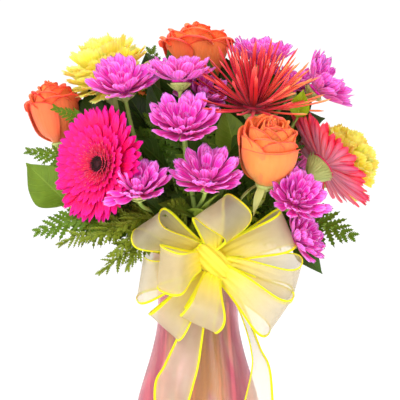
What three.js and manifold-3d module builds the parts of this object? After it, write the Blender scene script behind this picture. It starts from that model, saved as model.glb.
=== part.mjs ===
// A mixed bouquet standing in a pink glass vase with a wide bow of sheer ribbon at its neck.
// Millimetres, +Z up. The origin is under the middle of the vase's foot, and the bouquet's front faces -Y.
import * as THREE from "three";
import { mergeVertices } from "three/addons/utils/BufferGeometryUtils.js";
import Module from "manifold-3d";

const wasm = await Module();
wasm.setup();

// ---------------------------------------------------------------- driving dimensions
const GAP = 0.3; // air between pieces that touch
const ROOM = 0.6; // air that a petal or leaf is given on every side
const TRUE_TO = 0.12; // how far a joined surface may be smoothed
const VASE = {
  // radius and height of the outside, from the foot up over belly, waist and lip
  outline: [
    [45, 0], [56, 7], [60, 28], [54.5, 62], [41.5, 106], [36.4, 134], [37.2, 168], [40.6, 192], [45, 206],
  ],
  steps: 8,
  wall: 3,
  floor: 8,
  sides: 20,
};
const WATER_TOP = 150;
const STEM = { pitch: 8.8, foot: 13, splay: 1.3, neck: 153, mouth: 204, mouthSpread: 1.3, sides: 5 };
const SHORTENED = [1, 0.82, 0.66, 0.5, 0.36]; // how much of its length a crowded petal keeps
const STUB = [12, 0.2]; // the bend and length of a petal that finds no room
const BENT = [0, 9, -9, 18, -18, 28, -28, 40, 54]; // degrees that a crowded petal is bent clear by

// ---------------------------------------------------------------- colours
const finish = (color, roughness = 0.6, extra = {}) =>
  new THREE.MeshStandardMaterial({ color, roughness, metalness: 0, side: THREE.FrontSide, ...extra });
const FINISH = {
  glass: finish(0xd9718f, 0.08, { transparent: true, opacity: 0.5 }),
  water: finish(0xe8eef0, 0.05, { transparent: true, opacity: 0.3 }),
  stem: finish(0x7fa04a, 0.55),
  magenta: finish(0xe23fbf, 0.6),
  hotPink: finish(0xf5148c, 0.6),
  rosePink: finish(0xf0567c, 0.6),
  eye: finish(0x3a1418, 0.8),
  yellow: finish(0xf7e45a, 0.65),
  orange: finish(0xf26a36, 0.55),
  red: finish(0xd92f36, 0.55),
  fern: finish(0x2f5a1c, 0.6),
  broadLeaf: finish(0x4d7a2c, 0.45),
  feathery: finish(0x6f8f38, 0.6),
  ribbon: finish(0xf6e27c, 0.5, { transparent: true, opacity: 0.6 }),
};

// ---------------------------------------------------------------- small helpers
const vec = (x, y, z) => new THREE.Vector3(x, y, z);
const rad = THREE.MathUtils.degToRad;
const mix = THREE.MathUtils.lerp;

// A repeatable stream of numbers from 0 to 1.
function drawFrom(seed) {
  let state = seed * 7919 + 17;
  return () => {
    state = (state * 48271) % 2147483647;
    return state / 2147483647;
  };
}

// A closed solid from a closed geometry, turned so that its faces point out.
function solid(geometry) {
  const loose = geometry.index ? geometry.toNonIndexed() : geometry;
  const bare = new THREE.BufferGeometry().setAttribute("position", loose.getAttribute("position"));
  const merged = mergeVertices(bare, 1e-3);
  const vertProperties = merged.attributes.position.array;
  const triVerts = new Uint32Array(merged.index.array);
  const made = new wasm.Manifold(new wasm.Mesh({ numProp: 3, vertProperties, triVerts }));
  if (made.volume() > 0) return made;
  triVerts.reverse();
  return new wasm.Manifold(new wasm.Mesh({ numProp: 3, vertProperties, triVerts }));
}

// A geometry from points and the corners of its triangles.
function faceted(points, corners) {
  const made = new THREE.BufferGeometry().setFromPoints(points);
  return made.setIndex(corners);
}

// A closed skin over a row of rings that have the same number of points, closed by a flat fan at each end.
function loft(rings) {
  const around = rings[0].length;
  const last = (rings.length - 1) * around;
  const corners = [];
  for (let i = 0; i < last; i += around)
    for (let j = 0; j < around; j++) {
      const a = i + j;
      const b = i + ((j + 1) % around);
      corners.push(a, b, b + around, a, b + around, a + around);
    }
  for (let j = 1; j + 1 < around; j++) corners.push(0, j + 1, j, last, last + j, last + j + 1);
  return solid(faceted(rings.flat(), corners));
}

// A round bar through points, with a radius at each, tapering evenly between them.
function bar(points, radii, sides = STEM.sides) {
  const side = vec(0, 0, 0);
  const rings = points.map((point, i) => {
    const before = points[Math.max(i - 1, 0)];
    const after = points[Math.min(i + 1, points.length - 1)];
    const along = after.clone().sub(before).normalize();
    if (i === 0) side.copy(Math.abs(along.y) < 0.9 ? vec(0, 1, 0) : vec(1, 0, 0));
    side.addScaledVector(along, -side.dot(along)).normalize();
    const third = along.clone().cross(side);
    const ring = [];
    for (let k = 0; k < sides; k++) {
      const turn = (2 * Math.PI * k) / sides;
      const out = side.clone().multiplyScalar(Math.cos(turn)).addScaledVector(third, Math.sin(turn));
      ring.push(point.clone().addScaledVector(out, radii[i]));
    }
    return ring;
  });
  return loft(rings);
}

// A leaf-like blade: sharp edges at `left` and `right`, and a rib between them that is `thick` along `under`.
// The rib has one point more at each end, where the edges meet it.
function blade(rib, left, right, under) {
  const n = left.length;
  const top = rib.slice(1, -1);
  const bottom = top.map((p, i) => p.clone().add(under[i]));
  const points = [rib[0], rib[n + 1], ...top, ...bottom, ...left, ...right];
  const at = (row, i) => 2 + row * n + i;
  const corners = [];
  const side = (edge, mid, flip) => {
    const face = (...abc) => corners.push(...(flip ? abc.reverse() : abc));
    face(0, at(mid, 0), at(edge, 0));
    for (let i = 0; i + 1 < n; i++) {
      face(at(mid, i), at(mid, i + 1), at(edge, i));
      face(at(mid, i + 1), at(edge, i + 1), at(edge, i));
    }
    face(1, at(edge, n - 1), at(mid, n - 1));
  };
  side(2, 0, false);
  side(3, 0, true);
  side(2, 1, true);
  side(3, 1, false);
  return solid(faceted(points, corners));
}

// Joins solids into one, and drops any scrap that doesn't hold to the largest piece.
function join(pieces) {
  const bodies = wasm.Manifold.union(pieces).simplify(TRUE_TO).decompose();
  return bodies.reduce((a, b) => (a.volume() > b.volume() ? a : b));
}

// ---------------------------------------------------------------- what has been placed
const bouquet = new THREE.Group();
const placed = new Map();

function boxesMeet(a, b) {
  return [0, 1, 2].every((k) => a.min[k] < b.max[k] && b.min[k] < a.max[k]);
}

// Keeps the room that a piece takes up, under its name.
function hold(name, made) {
  placed.set(name, { solid: made, box: made.boundingBox() });
}

// True if nothing placed so far is in the way of a solid, apart from the piece it belongs to.
function isClear(candidate, own) {
  const box = candidate.boundingBox();
  for (const [name, other] of placed) {
    if (name === own || !boxesMeet(box, other.box)) continue;
    if (!candidate.intersect(other.solid).isEmpty()) return false;
  }
  return true;
}

function add(name, made, material) {
  const mesh = made.getMesh();
  const geometry = new THREE.BufferGeometry();
  geometry.setAttribute("position", new THREE.BufferAttribute(mesh.vertProperties, 3));
  geometry.setIndex(new THREE.BufferAttribute(mesh.triVerts, 1));
  geometry.computeVertexNormals();
  const part = new THREE.Mesh(geometry, material);
  part.name = name;
  bouquet.add(part);
  hold(name, made);
}

// The bend in degrees and the share of its length with which a petal or leaf is clear, or nothing.
function clearestFor(own, make, bends = BENT, lengths = SHORTENED) {
  const tries = lengths.flatMap((length) => bends.map((bend) => [bend, length]));
  return tries.find((how) => isClear(make(...how, ROOM), own));
}

// The solids of those makers that find room, each bent and shortened until it is clear.
function bendClear(own, makers, bends, lengths) {
  const kept = [];
  for (const make of makers) {
    const how = clearestFor(own, make, bends, lengths);
    if (how) kept.push(make(...how, 0));
  }
  return kept;
}

// ---------------------------------------------------------------- frames of blooms
// A bloom's own frame: origin where its petals are attached, Z along its facing, X and Y across it.
function frameAt(place, facing) {
  const z = vec(...facing).normalize();
  const x = vec(0, 0, 1).cross(z);
  if (x.length() < 0.05) x.set(1, 0, 0).addScaledVector(z, -z.x);
  x.normalize();
  const y = z.clone().cross(x);
  const matrix = new THREE.Matrix4().makeBasis(x, y, z).setPosition(...place);
  return { origin: vec(...place), z, at: (px, py, pz) => vec(px, py, pz).applyMatrix4(matrix) };
}

// A ring of points round a bloom's axis.
function ringIn(frame, radius, height, sides, turn = 0) {
  return Array.from({ length: sides }, (_, k) => {
    const angle = turn + (2 * Math.PI * k) / sides;
    return frame.at(radius * Math.cos(angle), radius * Math.sin(angle), height);
  });
}

// A turned body round a bloom's axis, from [radius, height] steps.
function turned(frame, steps, sides) {
  return loft(steps.map(([radius, height]) => ringIn(frame, radius, height, sides)));
}

// The sections of a petal, from its root out. It leaves the bloom's axis at `root`, `rise` degrees above the
// bloom's plane, and turns up by `curl` degrees along its length. Each section has its two edges and its rib,
// which lies `hollow` lower.
function petalSections(frame, form, bend, share, grown = 0) {
  const { turn, root, base, length, width, thick, hollow = 0, rise, curl, widths } = form;
  const steps = widths.length - 1;
  const reach = length * share + grown;
  const out = [Math.cos(turn), Math.sin(turn)];
  let r = root;
  let h = base;
  return widths.map((part, i) => {
    const slope = rad(rise + bend + (curl * i) / steps);
    if (i > 0) {
      r += (Math.cos(slope) * reach) / steps;
      h += (Math.sin(slope) * reach) / steps;
    }
    const half = (part * width) / 2 + grown;
    const point = (side, depth) => {
      const pr = r + depth * Math.sin(slope);
      return frame.at(pr * out[0] - side * out[1], pr * out[1] + side * out[0], h - depth * Math.cos(slope));
    };
    const deep = hollow * part;
    return {
      left: point(-half, -grown),
      right: point(half, -grown),
      top: point(0, deep),
      rib: point(0, deep + thick + grown),
    };
  });
}

// A petal as a bar with a three-cornered section.
function petal(frame, form, bend, share, grown) {
  const sections = petalSections(frame, form, bend, share, grown);
  return loft(sections.map(({ left, right, rib }) => [left, right, rib]));
}

// The band of skin between two rings of valleys, which need not have the same number. Each valley has two
// points in a row of numbers, the upper one first; `start` gives the number that each ring starts at.
function band(lower, upper, start) {
  const full = 2 * Math.PI;
  const past = (valley) => (((valley.angle - lower[0].angle) % full) + full) % full;
  const order = upper.map((_, j) => j).sort((a, b) => past(upper[a]) - past(upper[b]));
  const [n, m] = [lower.length, upper.length];
  const low = (i) => start[0] + 2 * (i % n);
  const up = (j) => start[1] + 2 * order[(j + m) % m] + 1;
  const nextLow = (i) => (i + 1 < n ? past(lower[i + 1]) : full);
  const corners = [];
  let [i, j] = [0, 0];
  while (i < n || j < m) {
    const takeLow = j >= m || (i < n && nextLow(i) <= past(upper[order[j]]));
    if (takeLow) corners.push(low(i), low(i + 1), up(j - 1));
    else corners.push(up(j), up(j - 1), low(i));
    if (takeLow) i++;
    else j++;
  }
  return corners;
}

// A row's petals in a layered bloom: `ring` is the number of the first valley's point, `first` that of the first
// petal's.
function petalSkin(petals, ring, first) {
  const corners = [];
  petals.forEach(({ outline }, k) => {
    const from = first + k * (outline.length + 2);
    const edge = outline.map((_, i) => from + i);
    const [above, below] = [from + edge.length, from + edge.length + 1];
    const [left, right] = [ring + 2 * k, ring + 2 * ((k + 1) % petals.length)];
    const loop = [left, ...edge, right];
    loop.forEach((a, i) => corners.push(a, loop[(i + 1) % loop.length], above));
    const under = [left + 1, ...edge, right + 1];
    under.forEach((a, i) => corners.push(under[(i + 1) % under.length], a, below));
    corners.push(edge[0], left, left + 1, right, edge[edge.length - 1], right + 1);
  });
  return corners;
}

// Rows of petals, the outermost first, as one closed skin from a point under the bloom to one in its middle.
// A petal is an outline of points from its left side over its tip to its right, with a point above and a
// point below in its middle. Valleys lie between the petals of a row.
function layered(frame, rows, [under, middle]) {
  const points = [frame.at(0, 0, under), frame.at(0, 0, middle)];
  const corners = [];
  const rings = rows.map(({ petals, valleys }) => {
    const ring = points.length;
    points.push(...valleys.flatMap((valley) => [valley.above, valley.below]));
    corners.push(...petalSkin(petals, ring, points.length));
    points.push(...petals.flatMap(({ outline, top, rib }) => [...outline, top, rib]));
    return ring;
  });
  const last = rows.length - 1;
  const around = (r) => rows[r].valleys.map((_, k) => [2 * k, 2 * ((k + 1) % rows[r].valleys.length)]);
  for (const [a, b] of around(0)) corners.push(rings[0] + b + 1, rings[0] + a + 1, 0);
  for (const [a, b] of around(last)) corners.push(rings[last] + a, rings[last] + b, 1);
  for (let r = 0; r < last; r++)
    corners.push(...band(rows[r].valleys, rows[r + 1].valleys, [rings[r], rings[r + 1]]));
  return solid(faceted(points, corners));
}

// ---------------------------------------------------------------- stems
const standing = []; // the stems that need a hole in the water

// Where a stem passes the vase's neck: rings of six slots more each, a pitch apart.
function slotPoint([ring, number], z, spread = 1) {
  const angle = ring ? (2 * Math.PI * number) / (6 * ring) : 0;
  const radius = ring * STEM.pitch * spread;
  return vec(radius * Math.cos(angle), radius * Math.sin(angle), z);
}

// The straight stretch from the vase's floor through the water to its neck, and on to its mouth.
const inVase = (slot, foot) => [
  slotPoint(slot, foot, STEM.splay),
  slotPoint(slot, STEM.neck),
  slotPoint(slot, STEM.mouth, STEM.mouthSpread),
];

// A curve that leaves `from` along `heading` and reaches `to` along `facing`.
function reachTo(from, heading, to, facing, steps, pull = 0.38) {
  const span = from.distanceTo(to) * pull;
  const curve = new THREE.CubicBezierCurve3(
    from,
    from.clone().addScaledVector(heading, span),
    to.clone().addScaledVector(facing, -span),
    to,
  );
  return curve.getPoints(steps).slice(1);
}

// The whole run of one stem, from the vase's floor to the seat of its bloom.
function stemRun(slot, seat, facing) {
  const run = inVase(slot, STEM.foot);
  const heading = run[2].clone().sub(run[1]).normalize();
  return [...run, ...reachTo(run[2], heading, seat, facing, 4)];
}

// The green leaves that hang from under a bloom.
function sepalsOf(frame, sepal) {
  return Array.from({ length: sepal.count }, (_, k) => {
    const form = { ...sepal, turn: (2 * Math.PI * (k + sepal.first)) / sepal.count };
    return petal(frame, form, 0, 1, 0);
  });
}

// A stem with one bloom's green cup on top.
function cuppedStem(bloom, kind) {
  const frame = frameAt(bloom.place, bloom.facing);
  const seat = frame.at(0, 0, kind.cup[0][1] + 1);
  const run = stemRun(bloom.slot, seat, frame.z);
  const radii = run.map((_, i) => mix(kind.stem, kind.stem * 0.88, i / (run.length - 1)));
  const sepals = kind.sepal ? sepalsOf(frame, kind.sepal) : [];
  return [bar(run, radii), turned(frame, kind.cup, 7), ...sepals];
}

// ---------------------------------------------------------------- vase and water
function latheSolid(profile, sides) {
  const geometry = new THREE.LatheGeometry(profile.map(([r, z]) => new THREE.Vector2(r, z)), sides);
  geometry.rotateX(Math.PI / 2);
  return solid(geometry);
}

const outlineCurve = new THREE.SplineCurve(VASE.outline.map(([r, z]) => new THREE.Vector2(r, z)));
const outside = outlineCurve.getPoints(VASE.steps).map((p) => [p.x, p.y]);

function outerRadius(z) {
  const i = outside.findIndex(([, height]) => height >= z);
  const [[r0, z0], [r1, z1]] = [outside[i - 1], outside[i]];
  return mix(r0, r1, (z - z0) / (z1 - z0));
}

// The inside, from the floor's edge up to the lip.
const inside = outside
  .filter(([, z]) => z > VASE.floor + 6)
  .map(([r, z]) => [r - VASE.wall, z]);
inside.unshift([inside[0][0] - 7, VASE.floor]);

function buildVase() {
  const profile = [[0, 0], ...outside, ...inside.toReversed(), [0, VASE.floor]];
  add("vase", latheSolid(profile, VASE.sides), FINISH.glass);
}

// Water up to below the neck, with a hole for each stem that stands in it.
function buildWater() {
  const wet = inside.filter(([, z]) => z < WATER_TOP - 4);
  const next = inside[wet.length];
  const [r, z] = wet[wet.length - 1];
  wet.push([mix(r, next[0], (WATER_TOP - z) / (next[1] - z)), WATER_TOP]);
  const side = wet.map(([r, z], i) => [r - 2 * GAP, i ? z : z + GAP]);
  const body = latheSolid([[0, VASE.floor + GAP], ...side, [0, WATER_TOP]], VASE.sides);
  const holes = standing.map(({ slot, foot, radius, sides }) => {
    const [from, to] = inVase(slot, foot);
    from.addScaledVector(to.clone().sub(from).normalize(), -GAP);
    return bar([from, to], [radius + GAP, radius + GAP], sides);
  });
  add("water", body.subtract(wasm.Manifold.union(holes)), FINISH.water);
}

// ---------------------------------------------------------------- kinds of bloom
// Cups and cores are turned, as [radius, height] steps in the bloom's frame. Rows of petals run from the
// outside in. `ends` are the heights at which a bloom's skin closes under it and in its middle.
const DAISY = {
  stem: 2.1,
  cup: [[2.6, -10], [8.6, -3.2]],
  core: [[6.5, -2.9], [8.6, -0.5], [5.5, 4]],
  ends: [-2.9, 4],
  thick: 1.3,
  hollow: 1,
  rows: [
    { count: 11, root: 5.5, base: 0, length: 29, width: 11, rise: 8, curl: 26, widths: [0.4, 1, 0.45] },
    { count: 7, root: 4, base: 2, length: 23, width: 9.4, rise: 46, curl: 14, widths: [0.5, 1, 0.4] },
  ],
};
const GERBERA = {
  stem: 3.1,
  cup: [[2.6, -19], [8, -15], [13.2, -3.4]],
  core: [[11.5, -3.1], [14, -1], [9.5, 1.6]],
  ends: [-3.1, 3.1],
  eye: [[9, 3.4], [9.4, 5], [5.5, 7]],
  thick: 1.3,
  hollow: 0.8,
  rows: [
    { count: 23, root: 12, base: -1, length: 41, width: 10.8, rise: 3, curl: 10, widths: [0.45, 1, 0.5] },
    { count: 14, root: 10.5, base: 1.2, length: 27, width: 8.8, rise: 15, curl: 8, widths: [0.45, 1, 0.45] },
  ],
};
const SPIDER = {
  stem: 2.8,
  cup: [[2.4, -13], [7, -9], [10.5, -4.2]],
  core: [[8.5, -3.9], [11, -1], [6, 7]],
  ends: [-3.9, 10],
  thick: 2.2,
  hollow: 0,
  rows: [
    { count: 12, root: 9, base: 0, length: 56, width: 3.8, rise: 4, curl: 8, widths: [1.6, 0.8, 1] },
    { count: 11, root: 7.5, base: 3, length: 60, width: 3.8, rise: 26, curl: 4, widths: [1.6, 0.8, 1] },
    { count: 9, root: 6, base: 6, length: 56, width: 3.8, rise: 48, curl: 2, widths: [1.6, 0.8, 1] },
    { count: 6, root: 4, base: 8, length: 48, width: 3.8, rise: 70, curl: 0, widths: [1.6, 0.8, 1] },
  ],
};
const CARNATION = {
  stem: 2.6,
  cup: [[2.2, -34], [6.6, -29], [9, -8.4]],
  core: [[8.4, -8.1], [11, 0], [12, 8], [7, 15]],
  ends: [-8.1, 18],
  thick: 1.2,
  ruffle: 4,
  rows: [
    { count: 10, root: 9, base: -3, length: 27, rise: -8 },
    { count: 9, root: 8, base: 1, length: 27, rise: 18 },
    { count: 8, root: 6.5, base: 5, length: 26, rise: 40 },
    { count: 6, root: 4.5, base: 9, length: 23, rise: 60 },
    { count: 3, root: 2.5, base: 12, length: 17, rise: 80 },
  ],
};
const ROSE = {
  stem: 3,
  cup: [[2.6, -9], [6, -6.5], [8.4, -1.4]],
  sepal: {
    count: 5,
    first: 0.3,
    root: 5.5,
    base: -3.6,
    length: 24,
    width: 7,
    thick: 1.4,
    rise: -24,
    curl: -48,
    widths: [1, 0.9, 0.1],
  },
  ends: [-1.1, 34],
  thick: 1.5,
  // a petal's line gives its radius and height at even steps from its root to its lip
  rows: [
    { count: 5, line: [[7, 0], [18.5, 11], [23, 29], [23.5, 42]], dip: 3 },
    { count: 4, line: [[6, 3], [14.5, 17], [18.5, 34], [17.5, 50]], dip: 4 },
    { count: 3, line: [[4.5, 6], [11.5, 24], [12.5, 40], [8.5, 55]], dip: 4 },
    { count: 3, line: [[2.5, 12], [6.5, 30], [6.5, 44], [2.5, 57]], dip: 2 },
  ],
};

// ---------------------------------------------------------------- where the blooms are
// Each has its slot in the neck, the place of its receptacle and its facing; front is -Y.
const GERBERAS = [
  { name: "gerbera_left", slot: [3, 11], place: [-84, -56, 272], facing: [-0.66, -0.74, 0.1] },
  { name: "gerbera_right", slot: [3, 0], place: [112, -22, 273], facing: [0.74, 0.28, 0.61] },
];
const ROSES = [
  { name: "rose_left", slot: [2, 6], place: [-124, 2, 295], facing: [-0.2, -0.14, 0.97], size: 0.94 },
  { name: "rose_top", slot: [0, 0], place: [-2, 16, 342], facing: [0.02, -0.04, 1], size: 1.04, flare: 6 },
  { name: "rose_front", slot: [2, 10], place: [58, -66, 257], facing: [0.06, -0.38, 0.92], size: 1.1 },
  { name: "rose_back", slot: [2, 4], place: [-42, 58, 296], facing: [-0.3, 0.56, 0.77], size: 1, flare: 4 },
];
const CARNATIONS = [
  { name: "carnation_left", slot: [1, 3], place: [-80, 8, 351], facing: [-0.32, -0.12, 0.94], size: 1.12 },
  { name: "carnation_right", slot: [3, 1], place: [129, 30, 274], facing: [0.74, 0.2, 0.64], size: 1.06 },
];
const SPIDERS = [{ name: "spider_mum", slot: [1, 5], place: [49, -46, 322], facing: [0.08, -0.3, 0.95] }];

// A spray is one stem that forks above the neck and carries several heads.
const SPRAYS = [
  {
    name: "spray_front",
    slot: [2, 9],
    fork: [-2, -44, 226],
    heads: [
      { name: "daisy_upper", place: [-16, -58, 346], facing: [-0.04, -0.08, 1], size: 1 },
      { name: "daisy_middle", place: [-12, -80, 302], facing: [0, -0.66, 0.75], size: 1.08 },
      { name: "daisy_lower", place: [7, -92, 257], facing: [0.06, -0.62, 0.78], size: 1.04 },
    ],
  },
  {
    name: "spray_left",
    slot: [2, 8],
    fork: [-28, -44, 226],
    heads: [
      { name: "daisy_high_left", place: [-65, -46, 338], facing: [-0.14, -0.5, 0.85], size: 1.08 },
      { name: "daisy_low_left", place: [-51, -86, 249], facing: [-0.04, -0.6, 0.8], size: 1 },
    ],
  },
  {
    name: "spray_top",
    slot: [1, 0],
    fork: [22, -4, 262],
    heads: [
      { name: "daisy_hidden", place: [2, -34, 332], facing: [0.3, -0.6, 0.72], size: 0.86 },
      { name: "daisy_high", place: [57, 6, 366], facing: [0.12, -0.22, 0.97], size: 0.96 },
      { name: "daisy_high_right", place: [84, 2, 342], facing: [0.4, -0.1, 0.9], size: 0.8 },
    ],
  },
  {
    name: "spray_right",
    slot: [3, 16],
    fork: [58, -29, 234],
    heads: [
      { name: "daisy_far_right", place: [106, -14, 340], facing: [0.7, -0.2, 0.66], size: 1.06 },
      { name: "daisy_low_right", place: [84, -76, 240], facing: [0.34, -0.76, 0.55], size: 0.86 },
      { name: "daisy_lowest", place: [86, -58, 208], facing: [0.82, -0.4, 0.38], size: 0.86 },
    ],
  },
  {
    name: "spray_back",
    slot: [2, 2],
    fork: [26, 44, 240],
    heads: [
      { name: "daisy_back_high", place: [30, 58, 336], facing: [0.2, 0.55, 0.8], size: 1 },
      { name: "daisy_back_right", place: [84, 72, 262], facing: [0.5, 0.72, 0.47], size: 0.95 },
    ],
  },
];

// ---------------------------------------------------------------- blooms
// The petals in rows round a bloom. `loose` is how unevenly they stand, from 0 to 1.
function petalRows(kind, size, loose, draw) {
  return kind.rows.map((row, layer) =>
    Array.from({ length: row.count }, (_, k) => {
      const turn = (2 * Math.PI * (k + 0.5 * layer + 0.35 * loose * (draw() - 0.5))) / row.count;
      const rise = row.rise + 12 * loose * (draw() - 0.5);
      const length = row.length * size * (1 + 0.14 * loose * (draw() - 0.5));
      return { ...row, turn, rise, length, width: row.width * size, thick: kind.thick, hollow: kind.hollow };
    }),
  );
}

// A petal's outline and middle for a whorl.
function petalOutline(frame, form, bend, share) {
  const [, middle, end] = petalSections(frame, form, bend, share);
  return { outline: [middle.left, end.left, end.right, middle.right], top: middle.top, rib: middle.rib };
}

const WEB = 1; // how thick a bloom's disc is between two petals

// The points between the petals of a row, on a ring.
function valleysOf(frame, turns, radius, height) {
  return turns.map((turn, k) => {
    const before = turns[(k + turns.length - 1) % turns.length];
    const angle = (turn + before) / 2 + (k ? 0 : Math.PI);
    const [x, y] = [radius * Math.cos(angle), radius * Math.sin(angle)];
    return { angle, above: frame.at(x, y, height + WEB / 2), below: frame.at(x, y, height - WEB / 2) };
  });
}

// A bloom in layers. Each petal is bent and shortened until it is clear of what stands round the bloom.
function bloomOf(own, frame, rows, ends, { room, outline }) {
  const made = rows.map((forms) => {
    const petals = forms.map((form) => {
      const [bend, share] = clearestFor(own, (...how) => room(frame, form, ...how)) ?? STUB;
      return outline(frame, form, bend, share);
    });
    const turns = forms.map((form) => form.turn);
    return { petals, valleys: valleysOf(frame, turns, forms[0].root * 1.1, forms[0].base) };
  });
  return layered(frame, made, ends);
}

// A carnation's petals: fans whose outer edges are toothed and waved.
function fanRows(size, draw) {
  return CARNATION.rows.map((row, layer) =>
    Array.from({ length: row.count }, (_, k) => {
      const turn = (2 * Math.PI * (k + 0.5 * layer + 0.2 * (draw() - 0.5))) / row.count;
      const wave = CARNATION.ruffle * (k % 2 ? 1 : -1) * mix(0.7, 1.2, draw());
      const [root, base, length] = [row.root, row.base, row.length].map((value) => value * size);
      return { root, base, length, rise: row.rise, turn, wave, half: Math.PI / row.count };
    }),
  );
}

// A point on a fan: `u` from -1 to 1 across it, `v` from 0 to 1 along it, `lift` off its plane.
function fanPoint(frame, { turn, root, base, length, rise, half }, bend, share, [u, v, lift]) {
  const slope = rad(rise + bend);
  const along = v * length * share;
  const angle = turn + u * half * 0.96;
  const r = root + along * Math.cos(slope) - lift * Math.sin(slope);
  const h = base + along * Math.sin(slope) + lift * Math.cos(slope);
  return frame.at(r * Math.cos(angle), r * Math.sin(angle), h);
}

function fanOutline(frame, form, bend, share) {
  const { wave } = form;
  const edge = [[-0.92, 0.9, -wave], [-0.34, 1.05, wave], [0.3, 0.95, -wave * 0.6], [0.92, 1.02, wave * 0.8]];
  const at = (place) => fanPoint(frame, form, bend, share, place);
  return { outline: edge.map(at), top: at([0, 0.6, 0]), rib: at([0, 0.6, -CARNATION.thick]) };
}

// The room that a fan takes up.
function fanRoom(frame, form, bend, share, grown) {
  const thick = Math.abs(form.wave) + grown;
  const width = 2 * form.half * (form.root + form.length * share * Math.cos(rad(form.rise + bend)));
  const flat = { ...form, width, thick, curl: 0, widths: [0.4, 0.8, 1] };
  return petal(frame, flat, bend, share, grown + thick * 0.4);
}

// A rose petal's outline: `u` from -1 to 1 across it, `v` from 0 to 1 along it.
const ROSE_EDGE = [[-0.96, 0.33], [-0.98, 0.72], [-0.6, 0.98], [0.55, 1], [0.98, 0.74], [0.96, 0.35]];

// A place on a rose petal. `out` is off its surface; the outer rows are rolled out at the lip by `flare`.
function rosePoint({ count, line, dip }, turn, flare, [u, v, out]) {
  const step = v * (line.length - 1);
  const i = Math.min(line.length - 2, Math.floor(step));
  const [r, h] = [0, 1].map((k) => mix(line[i][k], line[i + 1][k], step - i));
  const angle = turn + (u * Math.PI) / count;
  const radius = r + out + flare * Math.max(0, 2 * v - 1);
  return [radius * Math.cos(angle), radius * Math.sin(angle), h - dip * u * u * v];
}

// A rose: cupped petals, each row inside the last and each petal lapping over the next.
function rosePetals(frame, size, flare = 0) {
  const rows = ROSE.rows.map((row, layer) => {
    const turns = Array.from({ length: row.count }, (_, k) => (2 * Math.PI * (k + 0.45 * layer)) / row.count);
    const rolled = layer < 2 ? flare : 0;
    const petals = turns.map((turn) => {
      const at = (place) => frame.at(...rosePoint(row, turn, rolled, place).map((value) => value * size));
      const outline = ROSE_EDGE.map(([u, v]) => at([u, v, u]));
      return { outline, top: at([0, 0.55, 0]), rib: at([0, 0.55, ROSE.thick]) };
    });
    const [radius, height] = row.line[0];
    return { petals, valleys: valleysOf(frame, turns, radius * size, height * size) };
  });
  const [under, middle] = ROSE.ends;
  return layered(frame, rows, [under, middle * size]);
}

// ---------------------------------------------------------------- sprays of daisies
const SPRAY_STEM = 2.7;

// One stem from the vase's floor to its fork, and a twig with a green cup to each head.
function sprayStem(spray) {
  const fork = vec(...spray.fork);
  const run = inVase(spray.slot, STEM.foot);
  const heading = run[2].clone().sub(run[1]).normalize();
  const rising = fork.clone().sub(run[2]).normalize();
  const trunk = [...run, ...reachTo(run[2], heading, fork, rising, 2)];
  const pieces = [bar(trunk, trunk.map(() => SPRAY_STEM))];
  for (const head of spray.heads) {
    const frame = frameAt(head.place, head.facing);
    const cup = DAISY.cup.map(([r, h]) => [r * head.size, h]);
    const seat = frame.at(0, 0, cup[0][1] + 1);
    const low = fork.clone().addScaledVector(rising, -2);
    const twig = [low, ...reachTo(low, rising, seat, frame.z, 3, 0.3)];
    pieces.push(bar(twig, twig.map(() => DAISY.stem), 4), turned(frame, cup, 6));
  }
  return join(pieces);
}

// ---------------------------------------------------------------- foliage
// A frond's stem passes `via` and reaches `tip`; its blade grows along the last part. `face` is where its
// upper side looks. Each row is a name, a slot, via, tip, face, the blade's width and its pairs of leaflets.
const FRONDS = [
  ["fern_left", [3, 9], [-70, -4, 262], [-160, -14, 287], [0, -0.7, 0.7], 34, 8],
  ["fern_low_left", [3, 10], [-66, -22, 228], [-149, -32, 212], [0, -0.6, 0.8], 40, 8],
  ["fern_over_rose", [2, 7], [-74, -22, 286], [-136, -38, 322], [0.2, -0.8, 0.5], 28, 7],
  ["fern_top", [1, 2], [-30, 14, 300], [-44, 32, 388], [0, -1, 0.2], 42, 8],
  ["fern_low_right", [2, 11], [76, -16, 240], [138, -36, 217], [0, -0.8, 0.6], 44, 8],
  ["fern_back_left", [3, 7], [-66, 50, 236], [-128, 66, 240], [0, 0.5, 0.8], 50, 8],
  ["fern_back_right", [3, 2], [60, 52, 230], [132, 84, 214], [0, 0.5, 0.8], 48, 8],
  ["fern_back", [3, 5], [-4, 62, 230], [-14, 122, 236], [0, 0.3, 0.9], 50, 8],
  ["cedar_left", [3, 12], [-56, -42, 216], [-127, -50, 196], [0, -0.6, 0.8], 34, 8],
  ["cedar_front", [3, 13], [-34, -56, 220], [-90, -80, 180], [-0.3, -0.7, 0.6], 30, 8],
  ["cedar_right", [3, 17], [54, -12, 226], [108, -40, 236], [0, -0.6, 0.8], 28, 7],
].map(([name, slot, via, tip, face, width, pinnae]) => ({ name, slot, via, tip, face, width, pinnae }));
const FROND = { stem: 1.6, sides: 4, bladeFrom: 0.42, thick: 1, notch: 0.24, arch: 0.22, foot: 20 };

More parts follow.
